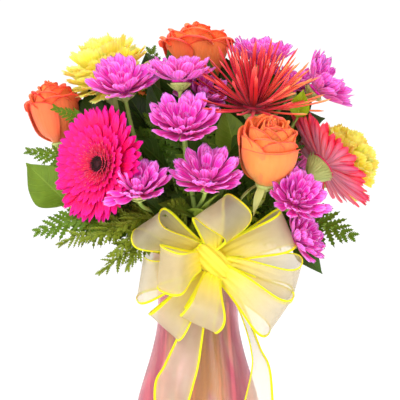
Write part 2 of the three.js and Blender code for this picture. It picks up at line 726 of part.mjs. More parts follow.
// Broad leaves stand along a twig: each grows `at` a share of the twig's upper half, towards its heading.
const LEAF_STEMS = [
  {
    name: "leaves_left",
    slot: [3, 8],
    via: [-72, 0, 238],
    tip: [-116, -8, 238],
    leaves: [
      { at: 1, heading: [-0.68, -0.28, 0.68], face: [-0.3, -0.9, 0.2], length: 54, width: 40 },
      { at: 0.86, heading: [-0.4, 0.2, 0.9], face: [-0.5, -0.5, 0.5], length: 52, width: 34 },
      { at: 0.7, heading: [-0.5, 0.7, 0.4], face: [-0.2, 0.4, 0.9], length: 54, width: 34 },
    ],
  },
  {
    name: "leaves_centre",
    slot: [1, 4],
    via: [12, -24, 252],
    tip: [34, -34, 278],
    leaves: [
      { at: 1, heading: [-0.25, 0, 1], face: [0, -1, 0.1], length: 46, width: 30 },
      { at: 0.86, heading: [-0.85, 0, 0.5], face: [0, -0.9, 0.4], length: 54, width: 34 },
      { at: 0.8, heading: [0.8, 0.2, 0.4], face: [0, -0.8, 0.6], length: 44, width: 28 },
      { at: 0.6, heading: [-0.7, -0.3, 0.5], face: [0, -0.9, 0.4], length: 44, width: 28 },
    ],
  },
  {
    name: "leaves_right",
    slot: [2, 0],
    via: [66, 0, 270],
    tip: [88, -18, 306],
    leaves: [
      { at: 1, heading: [0.2, -0.5, 0.9], face: [-0.1, -1, 0.1], length: 32, width: 18 },
      { at: 0.95, heading: [0.8, 0.1, 0.7], face: [0, -0.9, 0.3], length: 34, width: 26 },
      { at: 0.7, heading: [0.5, 0.6, 0.3], face: [0, 0, 1], length: 48, width: 32 },
    ],
  },
  {
    name: "leaves_low_right",
    slot: [3, 15],
    via: [48, -44, 212],
    tip: [78, -44, 202],
    leaves: [
      { at: 1, heading: [0.76, 0.02, -0.65], face: [0.2, -0.9, 0.4], length: 44, width: 20 },
      { at: 0.8, heading: [0.5, -0.4, 0.6], face: [0, -0.7, 0.7], length: 36, width: 22 },
    ],
  },
  {
    name: "leaves_top",
    slot: [1, 1],
    via: [10, 24, 300],
    tip: [20, 30, 346],
    leaves: [
      { at: 1, heading: [-0.2, -0.3, 0.9], face: [0, -1, 0.2], length: 44, width: 32 },
      { at: 0.9, heading: [0.8, 0.4, 0.6], face: [0, -0.6, 0.8], length: 46, width: 30 },
      { at: 0.8, heading: [-0.8, 0.5, 0.5], face: [0, 0.5, 0.8], length: 46, width: 30 },
    ],
  },
  {
    name: "leaves_front",
    slot: [3, 14],
    via: [4, -40, 215],
    tip: [0, -58, 226],
    leaves: [
      { at: 1, heading: [-0.7, -0.3, 0.2], face: [0, -0.6, 0.8], length: 40, width: 24 },
      { at: 0.9, heading: [0.6, -0.6, 0.2], face: [0, -0.5, 0.8], length: 38, width: 24 },
      { at: 0.8, heading: [-0.1, -0.6, -0.2], face: [0, -0.4, 0.9], length: 34, width: 22 },
    ],
  },
  {
    name: "leaves_back",
    slot: [2, 3],
    via: [-2, 52, 262],
    tip: [-4, 84, 296],
    leaves: [
      { at: 1, heading: [0.1, 0.6, 0.8], face: [0, 0.8, 0.4], length: 50, width: 34 },
      { at: 0.8, heading: [0.8, 0.5, 0.3], face: [0, 0.6, 0.8], length: 54, width: 34 },
      { at: 0.62, heading: [-0.8, 0.55, 0.1], face: [0, 0.6, 0.8], length: 54, width: 34 },
    ],
  },
];
// The leaf's form is its half width, as a share, at shares of its length.
const LEAF = {
  stem: 1.7,
  sides: 4,
  thick: 1,
  fold: 0.3,
  droop: 0.12,
  form: [[0.15, 0.55], [0.4, 1], [0.68, 0.82], [0.88, 0.4]],
  turned: [0, 10, -10, 20, -20, 32, -32, 46, -46],
};

// The run of a leafy stem, as a curve above the neck.
function leafyCurve(slot, via, tip, shift) {
  const run = inVase(slot, FROND.foot);
  const middle = vec(...via).add(shift);
  const curve = new THREE.CatmullRomCurve3([run[1], run[2], middle, vec(...tip)], false, "centripetal");
  return { run, curve };
}

// Across a blade that runs `onward` and faces about where `face` says.
function crosswise(onward, face) {
  const side = onward.clone().cross(vec(...face)).normalize();
  return { side, up: side.clone().cross(onward).normalize() };
}

// A frond's blade: thin, arched, and its edge cut to near the rib between the leaflets.
function frondBlade(curve, frond, share, grown) {
  const teeth = frond.pinnae * 2;
  const [rib, left, right, under] = [[], [], [], []];
  for (let i = 0; i <= teeth; i++) {
    const along = mix(FROND.bladeFrom, 1, (i / teeth) * share);
    const onward = curve.getTangentAt(along);
    const { side, up } = crosswise(onward, frond.face);
    const middle = curve.getPointAt(along);
    rib.push(middle.clone().addScaledVector(up, FROND.thick / 2 + grown));
    if (i === 0 || i === teeth) continue;
    const full = Math.sin(Math.PI * Math.min(1, 0.2 + (0.8 * i) / teeth)) ** 0.7;
    const half = (frond.width / 2) * full * (i % 2 ? 1 : FROND.notch) + grown;
    const edge = (s) =>
      middle
        .clone()
        .addScaledVector(side, s * half)
        .addScaledVector(up, -FROND.arch * half)
        .addScaledVector(onward, i % 2 ? half * 0.4 : 0);
    left.push(edge(-1));
    right.push(edge(1));
    under.push(up.clone().multiplyScalar(-FROND.thick - 2 * grown));
  }
  return blade(rib, left, right, under);
}

// The places tried for a leafy stem's middle, nearest first.
function shiftsBy(steps) {
  const all = steps.flatMap((x) => steps.flatMap((y) => steps.map((z) => vec(x, y, z))));
  return all.sort((a, b) => a.length() - b.length());
}

// The stem of a frond, up to the middle of its blade.
function frondStem(run, curve, grown) {
  const part = new THREE.CatmullRomCurve3(curve.getSpacedPoints(24).slice(0, 13)).getSpacedPoints(6);
  const points = [run[0], ...part];
  const radii = points.map((_, i) => mix(FROND.stem, 1, i / (points.length - 1)) + grown);
  return bar(points, radii, FROND.sides);
}

// A frond, moved or shortened until it is clear of what stands round it.
function buildFrond(frond) {
  for (const share of [1, 0.85, 0.7])
    for (const shift of shiftsBy([0, 9, -9, 18, -18])) {
      const tip = vec(...frond.tip).addScaledVector(shift, 0.5).toArray();
      const { run, curve } = leafyCurve(frond.slot, frond.via, tip, shift);
      if (!isClear(frondStem(run, curve, GAP), frond.name)) continue;
      if (!isClear(frondBlade(curve, frond, share, GAP), frond.name)) continue;
      const material = frond.name.startsWith("cedar") ? FINISH.feathery : FINISH.fern;
      add(frond.name, join([frondStem(run, curve, 0), frondBlade(curve, frond, share, 0)]), material);
      standing.push({ slot: frond.slot, foot: FROND.foot, radius: FROND.stem, sides: FROND.sides });
      return;
    }
}

// A broad leaf: a pointed oval, folded up along its rib and drooping towards its tip.
function broadLeaf(root, heading, leaf, turnBy, share, grown) {
  const onward = vec(...heading).normalize();
  onward.applyAxisAngle(crosswise(onward, leaf.face).side, rad(turnBy));
  const { side, up } = crosswise(onward, leaf.face);
  const point = (v, u, lift) => {
    const folded = (LEAF.fold * Math.abs(u) * leaf.width) / 2;
    const drooped = LEAF.droop * v * v * leaf.length;
    return root
      .clone()
      .addScaledVector(onward, v * leaf.length * share + (v > 0.9 ? grown : 0))
      .addScaledVector(side, (u * leaf.width) / 2 + Math.sign(u) * grown)
      .addScaledVector(up, lift + folded - drooped);
  };
  const top = LEAF.thick / 2 + grown;
  const rib = [[0, 0], ...LEAF.form, [1, 0]].map(([v]) => point(v, 0, top));
  const left = LEAF.form.map(([v, u]) => point(v, -u, 0));
  const right = LEAF.form.map(([v, u]) => point(v, u, 0));
  return blade(rib, left, right, LEAF.form.map(() => up.clone().multiplyScalar(-2 * top)));
}

// A leafy twig, moved until it is clear, with those of its leaves that find room.
function buildLeafStem(stem) {
  for (const shift of shiftsBy([0, 8, -8, 16, -16])) {
    const { run, curve } = leafyCurve(stem.slot, stem.via, vec(...stem.tip).add(shift).toArray(), shift);
    const points = [run[0], ...curve.getSpacedPoints(7)];
    const radii = points.map((_, i) => mix(LEAF.stem, 1.1, i / (points.length - 1)));
    if (!isClear(bar(points, radii.map((r) => r + GAP), LEAF.sides), stem.name)) continue;
    const makers = stem.leaves.map((leaf) => (bend, share, grown) => {
      const root = curve.getPointAt(Math.min(1, leaf.at * 0.5 + 0.5));
      return broadLeaf(root, leaf.heading, leaf, bend, share, grown);
    });
    const blades = bendClear(stem.name, makers, LEAF.turned, [1, 0.85, 0.7]);
    add(stem.name, join([bar(points, radii, LEAF.sides), ...blades]), FINISH.broadLeaf);
    standing.push({ slot: stem.slot, foot: FROND.foot, radius: LEAF.stem, sides: LEAF.sides });
    return;
  }
}

// ---------------------------------------------------------------- ribbon and bow
const RIBBON = { thick: 0.8, gathered: 15, steps: 6, band: { low: 177, high: 189, thick: 1.2 } };
const KNOT = {
  place: [13, -55, 188],
  axis: [0.7, 0.14, -0.7],
  form: [[6.5, -19], [11, -12], [11, 12], [6.5, 19]],
};
// Each loop leaves the knot at `root`, turns back at the fold between the two `ends`, and opens by `open`.
const LOOPS = [
  { root: [3, -54, 196], ends: [[-57, -62, 210], [-33, -82, 229]], open: 9 },
  { root: [3, -62, 188], ends: [[-28, -90, 162], [-27, -86, 199]], open: 14 },
  { root: [3, -53, 181], ends: [[-53, -60, 154], [-47, -58, 193]], open: 10 },
  { root: [8, -54, 176], ends: [[-42, -58, 141], [-17, -72, 120]], open: 8 },
  { root: [13, -62, 176], ends: [[-12, -84, 144], [18, -94, 129]], open: 12 },
  { root: [20, -60, 179], ends: [[61, -66, 125], [82, -72, 156]], open: 9 },
  { root: [23, -56, 186], ends: [[83, -58, 157], [90, -76, 187]], open: 8 },
  { root: [21, -54, 193], ends: [[84, -76, 201], [72, -68, 232]], open: 9 },
  { root: [14, -60, 198], ends: [[2, -80, 222], [31, -92, 244]], open: 13 },
];
// Each tail hangs between two edges, given by the points they pass.
const TAILS = [
  {
    left: [[6, -54, 178], [-7, -58, 145], [-20, -62, 116], [-29, -64, 97], [-37, -67, 80], [-36, -70, 40]],
    right: [[14, -56, 178], [7, -60, 145], [3, -64, 118], [0, -65, 98], [-4, -66, 82], [-20, -72, 26]],
  },
  {
    left: [[18, -56, 178], [28, -58, 160], [38, -60, 140], [46, -66, 112], [46, -69, 90], [34, -74, 44]],
    right: [[25, -53, 178], [34, -54, 160], [44, -54, 138], [54, -56, 112], [63, -61, 90], [66, -68, 30]],
  },
];

// A closed strip between two edges that have the same number of points.
function strip(left, right) {
  const rings = left.map((a, i) => {
    const b = right[i];
    const after = Math.min(i + 1, left.length - 1);
    const before = Math.max(i - 1, 0);
    const along = left[after].clone().add(right[after]).sub(left[before]).sub(right[before]);
    const off = along.cross(b.clone().sub(a)).normalize().multiplyScalar(RIBBON.thick / 2);
    return [a.clone().sub(off), b.clone().sub(off), b.clone().add(off), a.clone().add(off)];
  });
  return loft(rings);
}

function bowLoop({ root, ends, open }) {
  const from = vec(...root);
  const [a, b] = ends.map((end) => vec(...end));
  const across = b.clone().sub(a).normalize();
  const out = a.clone().add(b).divideScalar(2).sub(from).normalize();
  const lift = out.clone().cross(across).normalize();
  const { steps } = RIBBON;
  const edge = (end, side) =>
    Array.from({ length: steps + 1 }, (_, i) => {
      const t = i / steps;
      const reach = 1 - Math.abs(2 * t - 1) ** 2.2;
      const belly = open * Math.sin(2 * Math.PI * t) * (0.4 + 0.6 * Math.sin(Math.PI * t));
      const start = from.clone().addScaledVector(across, (side * RIBBON.gathered) / 2);
      return start.lerp(end, reach).addScaledVector(lift, belly);
    });
  return strip(edge(a, -1), edge(b, 1));
}

function tail({ left, right }) {
  const along = (edge) => new THREE.CatmullRomCurve3(edge.map((p) => vec(...p))).getPoints(RIBBON.steps);
  return strip(along(left), along(right));
}

function buildRibbon() {
  const { low, high, thick } = RIBBON.band;
  const [below, above] = [low, high].map((z) => [outerRadius(z) + GAP + 0.1, z]);
  const section = [below, above, ...[above, below, below].map(([r, z], i) => [i < 2 ? r + thick : r, z])];
  add("ribbon_band", latheSolid(section, VASE.sides), FINISH.ribbon);
  const knot = turned(frameAt(KNOT.place, KNOT.axis), KNOT.form, 7);
  add("bow", join([knot, ...LOOPS.map(bowLoop), ...TAILS.map(tail)]), FINISH.ribbon);
}

// ---------------------------------------------------------------- assembly
const FAMILIES = [
  { blooms: ROSES, kind: ROSE },
  { blooms: GERBERAS, kind: GERBERA },
  { blooms: CARNATIONS, kind: CARNATION },
  { blooms: SPIDERS, kind: SPIDER },
];

function buildStems() {
  for (const { blooms, kind } of FAMILIES)
    for (const bloom of blooms) {
      add(bloom.name + "_stem", join(cuppedStem(bloom, kind)), FINISH.stem);
      standing.push({ slot: bloom.slot, foot: STEM.foot, radius: kind.stem, sides: STEM.sides });
    }
  for (const spray of SPRAYS) {
    add(spray.name + "_stem", sprayStem(spray), FINISH.stem);
    standing.push({ slot: spray.slot, foot: STEM.foot, radius: SPRAY_STEM, sides: STEM.sides });
  }
}

// The cores of the blooms, whose room is held before any petal is laid.
function holdCores() {
  const heads = [];
  const daisies = SPRAYS.flatMap((spray) => spray.heads);
  for (const { blooms, kind } of [...FAMILIES.slice(1), { blooms: daisies, kind: DAISY }])
    for (const bloom of blooms) {
      const frame = frameAt(bloom.place, bloom.facing);
      const size = bloom.size ?? 1;
      hold(bloom.name, turned(frame, kind.core.map(([r, h], i) => [r * size, i ? h * size : h]), 8));
      heads.push({ bloom, kind, frame, size });
    }
  return heads;
}

function petalsOf({ bloom, kind, frame, size }, draw) {
  const isFan = kind === CARNATION;
  const rows = isFan ? fanRows(size, draw) : petalRows(kind, size, kind === GERBERA ? 0.5 : 1, draw);
  const shapes = isFan ? { room: fanRoom, outline: fanOutline } : { room: petal, outline: petalOutline };
  return bloomOf(bloom.name, frame, rows, kind.ends, shapes);
}

function finishOf({ bloom, kind }) {
  if (kind === SPIDER) return FINISH.red;
  if (kind === CARNATION) return FINISH.yellow;
  if (kind === DAISY) return FINISH.magenta;
  return bloom.name === "gerbera_left" ? FINISH.hotPink : FINISH.rosePink;
}

function buildAll() {
  buildVase();
  buildStems();
  for (const bloom of ROSES) {
    const frame = frameAt(bloom.place, bloom.facing);
    add(bloom.name, rosePetals(frame, bloom.size, bloom.flare), FINISH.orange);
  }
  for (const bloom of GERBERAS) {
    const eye = turned(frameAt(bloom.place, bloom.facing), GERBERA.eye, 10);
    add(bloom.name + "_eye", eye, FINISH.eye);
  }
  buildRibbon();
  const heads = holdCores();
  heads.forEach((head, k) => {
    add(head.bloom.name, petalsOf(head, drawFrom(11 + k)), finishOf(head));
  });
  FRONDS.forEach(buildFrond);
  LEAF_STEMS.forEach(buildLeafStem);
  buildWater();
}

buildAll();
export default bouquet;
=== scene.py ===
"""A mixed bouquet in a pink glass vase, with a bow of sheer wire-edged ribbon at its neck.

Lengths are in millimetres, in the frame of the CAD model: origin under the middle of the vase's foot, +Z up, the
bouquet's front towards -Y. They become metres where a mesh is made. Angles in tables are in degrees.
"""
import math
import random

import bpy
import numpy as np
from mathutils import Matrix, kdtree


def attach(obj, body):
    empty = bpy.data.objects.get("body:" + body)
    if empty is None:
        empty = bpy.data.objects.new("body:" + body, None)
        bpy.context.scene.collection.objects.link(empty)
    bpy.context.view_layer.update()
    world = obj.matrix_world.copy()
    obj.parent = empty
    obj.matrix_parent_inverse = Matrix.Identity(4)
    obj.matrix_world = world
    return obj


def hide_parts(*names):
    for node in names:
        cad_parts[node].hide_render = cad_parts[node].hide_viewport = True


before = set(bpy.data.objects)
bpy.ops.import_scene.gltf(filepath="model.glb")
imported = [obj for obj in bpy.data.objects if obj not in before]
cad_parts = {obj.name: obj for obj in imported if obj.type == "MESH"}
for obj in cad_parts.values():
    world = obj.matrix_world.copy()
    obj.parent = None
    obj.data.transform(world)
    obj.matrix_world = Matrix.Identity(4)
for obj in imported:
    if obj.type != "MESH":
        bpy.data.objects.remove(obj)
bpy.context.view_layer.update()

MM = 0.001
TAU = 2 * math.pi


# ---------------------------------------------------------------- camera
CAMERA = {"place": (1.8, -1800, 241.2), "focal_px": 2000, "frame_px": 400, "sensor": 36}


def look_from_front():
    """The photograph's view: level, from the front, a long lens."""
    data = bpy.data.cameras.new("camera")
    data.sensor_width = CAMERA["sensor"]
    data.lens = CAMERA["sensor"] * CAMERA["focal_px"] / CAMERA["frame_px"]
    camera = bpy.data.objects.new("camera", data)
    camera.location = [value * MM for value in CAMERA["place"]]
    camera.rotation_euler = (math.pi / 2, 0, 0)
    bpy.context.collection.objects.link(camera)
    bpy.context.scene.camera = camera


look_from_front()


# ---------------------------------------------------------------- node trees, written as sums
class Value:
    """What a node puts out. Signs between values make Math nodes."""

    def __init__(self, tree, socket):
        self.tree, self.socket = tree, socket


def feed(tree, node, values):
    """A node's inputs, by name or number, set or linked."""
    for key, value in values.items():
        if isinstance(value, Value):
            tree.links.new(value.socket, node.inputs[key])
        else:
            node.inputs[key].default_value = value


def put(tree, kind, values=None, **settings):
    """A node with its settings and its inputs."""
    node = tree.nodes.new(kind)
    for name, value in settings.items():
        setattr(node, name, value)
    feed(tree, node, values or {})
    return node


def read(tree, kind, output=0, **settings):
    """What a node without inputs puts out."""
    return Value(tree, put(tree, kind, **settings).outputs[output])


def made(kind, values, output=0, **settings):
    """What a node puts out, in the tree of what goes into it."""
    tree = next(value.tree for value in values.values() if isinstance(value, Value))
    return Value(tree, put(tree, kind, values, **settings).outputs[output])


def sums(operation, *values, clamp=False):
    return made("ShaderNodeMath", dict(enumerate(values)), operation=operation, use_clamp=clamp)


def signed(operation, swapped):
    def method(self, other):
        return sums(operation, *((other, self) if swapped else (self, other)))

    return method


for sign, operation in (("add", "ADD"), ("sub", "SUBTRACT"), ("mul", "MULTIPLY"), ("truediv", "DIVIDE")):
    setattr(Value, f"__{sign}__", signed(operation, False))
    setattr(Value, f"__r{sign}__", signed(operation, True))


def vectors(operation, *values):
    """A Vector Math node's vector."""
    keys = (0, "Scale") if operation == "SCALE" else (0, 1)
    return made("ShaderNodeVectorMath", dict(zip(keys, values)), operation=operation)


def blend(share, first, second, how="MIX"):
    """A colour mixed from two."""
    return made("ShaderNodeMix", {0: share, 6: first, 7: second}, 2, data_type="RGBA", blend_type=how)


def ramp(value, low, high, start=0.0, end=1.0):
    """A value eased from `start` to `end` as another goes from `low` to `high`."""
    ends = {0: value, 1: low, 2: high, 3: start, 4: end}
    return made("ShaderNodeMapRange", ends, interpolation_type="SMOOTHSTEP")


def noise(place, scale, detail=3.0, stretch=None):
    place = vectors("MULTIPLY", place, stretch) if stretch else place
    return made("ShaderNodeTexNoise", {"Vector": place, "Scale": scale, "Detail": detail, "Roughness": 0.55}, "Fac")


def bump(height, depth, strength):
    """A relief, `depth` millimetres deep."""
    return made("ShaderNodeBump", {"Height": height, "Distance": depth * MM, "Strength": strength})


def parts_of(vector):
    outputs = put(vector.tree, "ShaderNodeSeparateXYZ", {0: vector}).outputs
    return [Value(vector.tree, socket) for socket in outputs]


def off_middle(across):
    """How far a place is from a petal's middle line: 0.5 at its edges."""
    return sums("ABSOLUTE", sums("FRACT", across) - 0.5)


def rgb(red, green, blue):
    """A colour given as it looks, from 0 to 255."""
    def plain(value):
        value /= 255
        return value / 12.92 if value <= 0.04045 else ((value + 0.055) / 1.055) ** 2.4

    return (plain(red), plain(green), plain(blue), 1.0)


# ---------------------------------------------------------------- shader groups
WHITE, BLACK = (1, 1, 1, 1), (0, 0, 0, 1)
UNDERSIDE = 1.0001  # from here on a place across a petal is on its underside


def group(name, inputs, outputs):
    """An empty shader node group with named sockets, and what comes into it."""
    tree = bpy.data.node_groups.new(name, "ShaderNodeTree")
    for label, value in inputs.items():
        kind = "Color" if isinstance(value, tuple) else "Float"
        tree.interface.new_socket(label, in_out="INPUT", socket_type=f"NodeSocket{kind}").default_value = value
    for label in outputs:
        kind = "Color" if label == "Color" else "Float"
        tree.interface.new_socket(label, in_out="OUTPUT", socket_type=f"NodeSocket{kind}")
    given = tree.nodes.new("NodeGroupInput").outputs
    return tree, {label: Value(tree, given[label]) for label in inputs}


def places(tree):
    """Where a point is in its UV map, across and along its petal, and in space, and its own tone."""
    place = read(tree, "ShaderNodeUVMap", uv_map="petal")
    across, along, _ = parts_of(place)
    spot = read(tree, "ShaderNodeTexCoord", "Object")
    return place, across, along, spot, read(tree, "ShaderNodeAttribute", "Fac", attribute_name="tone")


def petal_group():
    """Colour and relief of a petal, by its own UV map: x across it (1 more on the underside), y along it."""
    colours = dict.fromkeys(("Root", "Body", "Tip", "Under", "Rim"), WHITE)
    numbers = {"Root Reach": 0.3, "Tip Reach": 0.2, "Veins": 7.0, "Vein Depth": 0.15, "Mottle": 0.2, "Rim Share": 0.0}
    tree, given = group("petal surface", {**colours, **numbers}, ["Color", "Height"])
    place, across, along, _, tone = places(tree)
    shifted = vectors("ADD", place, made("ShaderNodeCombineXYZ", {2: tone * 9.0}))
    cloud = noise(shifted, 2.2, stretch=(5.0, 1.6, 1.0))
    fine = noise(shifted, 1.0, 2.0, (60.0, 4.0, 1.0))
    along = along + (cloud - 0.5) * 0.25
    to_tip = ramp((1.0 - along) / given["Tip Reach"], 0.0, 1.0, 1.0, 0.0)
    colour = blend(ramp(along / given["Root Reach"], 0.0, 1.0, 1.0, 0.0), given["Body"], given["Root"])
    colour = blend(to_tip, colour, given["Tip"])
    colour = blend(sums("GREATER_THAN", across, UNDERSIDE) * (0.9 - to_tip * 0.6), colour, given["Under"])
    colour = blend(ramp(off_middle(across), 0.22, 0.5) * given["Rim Share"], colour, given["Rim"])
    turns = across * (given["Veins"] * TAU) + math.pi + (cloud - 0.5) * 2.0
    threads = ramp(sums("COSINE", turns), 0.2, 1.0) * (fine + 0.4)
    # The vein lines are darkened: partly the petal's own darker veins, partly painted shade in the vein grooves.
    colour = blend(threads * given["Vein Depth"], colour, blend(1.0, colour, (0.42, 0.3, 0.34, 1), "MULTIPLY"))
    value = tone * 0.2 + 0.9 + (cloud - 0.5) * given["Mottle"]
    tinted = made("ShaderNodeHueSaturation", {"Hue": tone * 0.014 + 0.493, "Value": value, "Color": colour})
    put(tree, "NodeGroupOutput", {"Color": tinted, "Height": fine * 0.4 - threads})
    return tree


def leaf_group():
    """Colour and relief of a leaf: a pale rib, side veins that run to the edge, and mottling between them."""
    inputs = {"Dark": BLACK, "Light": WHITE, "Under": WHITE, "Veins": 9.0, "Vein Strength": 0.4}
    tree, given = group("leaf surface", inputs, ["Color", "Height", "Gloss"])
    _, across, along, spot, tone = places(tree)
    aside = off_middle(across)
    rib = ramp(aside, 0.0, 0.035, 1.0, 0.0)
    veins = ramp(sums("COSINE", (along - aside * 0.55) * (given["Veins"] * TAU)), 0.86, 1.0)
    cloud, fine = noise(spot, 90.0, 4.0), noise(spot, 900.0, 2.0)
    colour = blend(sums("ADD", tone * 0.5, cloud * 0.6, clamp=True), given["Dark"], given["Light"])
    colour = blend(sums("MAXIMUM", rib, veins * 0.5) * given["Vein Strength"], colour, given["Under"])
    colour = blend(sums("GREATER_THAN", across, UNDERSIDE) * 0.6, colour, given["Under"])
    relief = fine * 0.3 - sums("MAXIMUM", rib, veins)
    gloss = ramp(cloud, 0.3, 0.7, 0.32, 0.52)
    put(tree, "NodeGroupOutput", {"Color": colour, "Height": relief, "Gloss": gloss})
    return tree


def stem_group():
    """Colour and relief of a stem, cup or bract: fine ribs along it, paler and redder patches."""
    inputs = {"Dark": BLACK, "Light": WHITE, "Blush": (1, 0, 0, 1), "Blush Share": 0.1}
    tree, given = group("stem surface", inputs, ["Color", "Height"])
    place, _, _, spot, tone = places(tree)
    ribs = noise(place, 1.0, stretch=(26.0, 3.0, 1.0))
    colour = blend(sums("ADD", ribs * 0.6, tone * 0.4, clamp=True), given["Dark"], given["Light"])
    blush = ramp(noise(spot, 35.0), 0.52, 0.7) * given["Blush Share"]
    put(tree, "NodeGroupOutput", {"Color": blend(blush, colour, given["Blush"]), "Height": ribs})
    return tree


PETAL_SURFACE, LEAF_SURFACE, STEM_SURFACE = petal_group(), leaf_group(), stem_group()


# ---------------------------------------------------------------- materials
def bare(name, shader):
    """A material, its tree and its shader, with the values that are the same all over."""
    material = bpy.data.materials.new(name)
    material.use_nodes = True
    tree = material.node_tree
    principled = tree.nodes["Principled BSDF"]
    feed(tree, principled, shader)
    return material, tree, principled


def surfaced(name, surface, colours, given, depth, shader):
    """A material with one of the surface groups: its colours, and other inputs with a _ for each space."""
    look = {key: rgb(*value) for key, value in colours.items()}
    for key, value in given.items():
        look[key.replace("_", " ").title()] = rgb(*value) if isinstance(value, tuple) else value
    material, tree, principled = bare(name, shader)
    results = put(tree, "ShaderNodeGroup", look, node_tree=surface).outputs
    results = {socket.name: Value(tree, socket) for socket in results}
    feed(tree, principled, {"Base Color": results["Color"], "Normal": bump(results["Height"], depth, 0.8)})
    if "Gloss" in results:
        feed(tree, principled, {"Roughness": results["Gloss"]})
    return material


PETAL_SKIN = {"Roughness": 0.5, "Specular IOR Level": 0.22, "Sheen Roughness": 0.5, "Subsurface Weight": 0.45,
              "Subsurface Scale": 0.003}


def petal_material(name, root, body, tip, under, relief=0.25, sheen=0.1, **given):
    colours = {"Root": root, "Body": body, "Tip": tip, "Under": under}
    return surfaced(name, PETAL_SURFACE, colours, given, relief, {**PETAL_SKIN, "Sheen Weight": sheen})


def leaf_material(name, dark, light, under, veins):
    colours = {"Dark": dark, "Light": light, "Under": under}
    return surfaced(name, LEAF_SURFACE, colours, {"veins": veins}, 0.3, {"Specular IOR Level": 0.22, "Roughness": 0.4})


def stem_material(name, dark, light, blush, share):
    colours = {"Dark": dark, "Light": light, "Blush": blush}
    shader = {"Roughness": 0.45, "Specular IOR Level": 0.4}
    return surfaced(name, STEM_SURFACE, colours, {"blush_share": share}, 0.15, shader)


def mixed(tree, share, first, second):
    """The material's surface, mixed from two shaders."""
    both = put(tree, "ShaderNodeMixShader", {0: share, 1: first, 2: second})
    feed(tree, tree.nodes["Material Output"], {"Surface": Value(tree, both.outputs[0])})


def glass_material(name, tint, streak, painted_band, ior, roughness, clear):
    """Clear or slightly milky glass in soft streaks, with a painted warm band down the middle of its front and back.
    Light on its way to something else isn't bent by it.
    """
    material, tree, principled = bare(name, {"Transmission Weight": clear, "IOR": ior, "Roughness": roughness})
    tint, streak, painted_band = rgb(*tint), rgb(*streak), rgb(*painted_band)
    spot = read(tree, "ShaderNodeTexCoord", "Object")
    waves = noise(spot, 1.0, 2.0, (110.0, 110.0, 7.0))
    broad = noise(spot, 1.0, 1.0, (60.0, 60.0, 4.0))
    aside = sums("ABSOLUTE", parts_of(spot)[0])
    # The soft streaks are the glass's own. That they are paler and stronger across the middle than at the sides is
    # painted: the wall seen face on there and edge on at the sides.
    colour = blend(ramp(waves, 0.36, 0.64) * ramp(aside, 0.022, 0.04, 1.0, 0.45), tint, streak)
    # Painted: a warm band down the middle of the front and the back, standing in for the stems and water seen through
    # the glass.
    colour = blend(ramp(broad, 0.46, 0.6) * ramp(aside, 0.018, 0.032, 1.0, 0.0), colour, painted_band)
    feed(tree, principled, {"Base Color": colour, "Normal": bump(waves, 0.4, 0.25)})
    through = put(tree, "ShaderNodeBsdfTransparent", {0: tuple(value**0.4 for value in tint)}).outputs[0]
    shadow = read(tree, "ShaderNodeLightPath", "Is Shadow Ray")
    mixed(tree, shadow, Value(tree, principled.outputs[0]), Value(tree, through))
    return material


def ribbon_material():
    """Sheer woven fabric: fine threads both ways, through which the light passes."""
    shader = {"Roughness": 0.45, "Sheen Weight": 0.15, "Sheen Roughness": 0.3}
    material, tree, principled = bare("sheer ribbon", shader)
    _, across, along, spot, gathered = places(tree)
    threads = sums("MAXIMUM", *(sums("SINE", way * (TAU * 90)) for way in (across, along)))
    cloud = noise(spot, 45.0)
    yellow = sums("MAXIMUM", ramp(off_middle(across), 0.36, 0.5) * 0.3, gathered)
    colour = blend(cloud, rgb(202, 187, 154), rgb(220, 206, 178))
    colour = blend(yellow, colour, rgb(255, 234, 44))
    alpha = sums("ADD", threads * 0.08 + cloud * 0.12 + 0.36, yellow * 0.45, clamp=True)
    feed(tree, principled, {"Base Color": colour, "Alpha": alpha, "Normal": bump(threads, 0.05, 0.5)})
    lit = made("ShaderNodeBsdfTranslucent", {0: colour})
    mixed(tree, alpha * (0.45 - yellow * 0.33), Value(tree, principled.outputs[0]), lit)
    return material


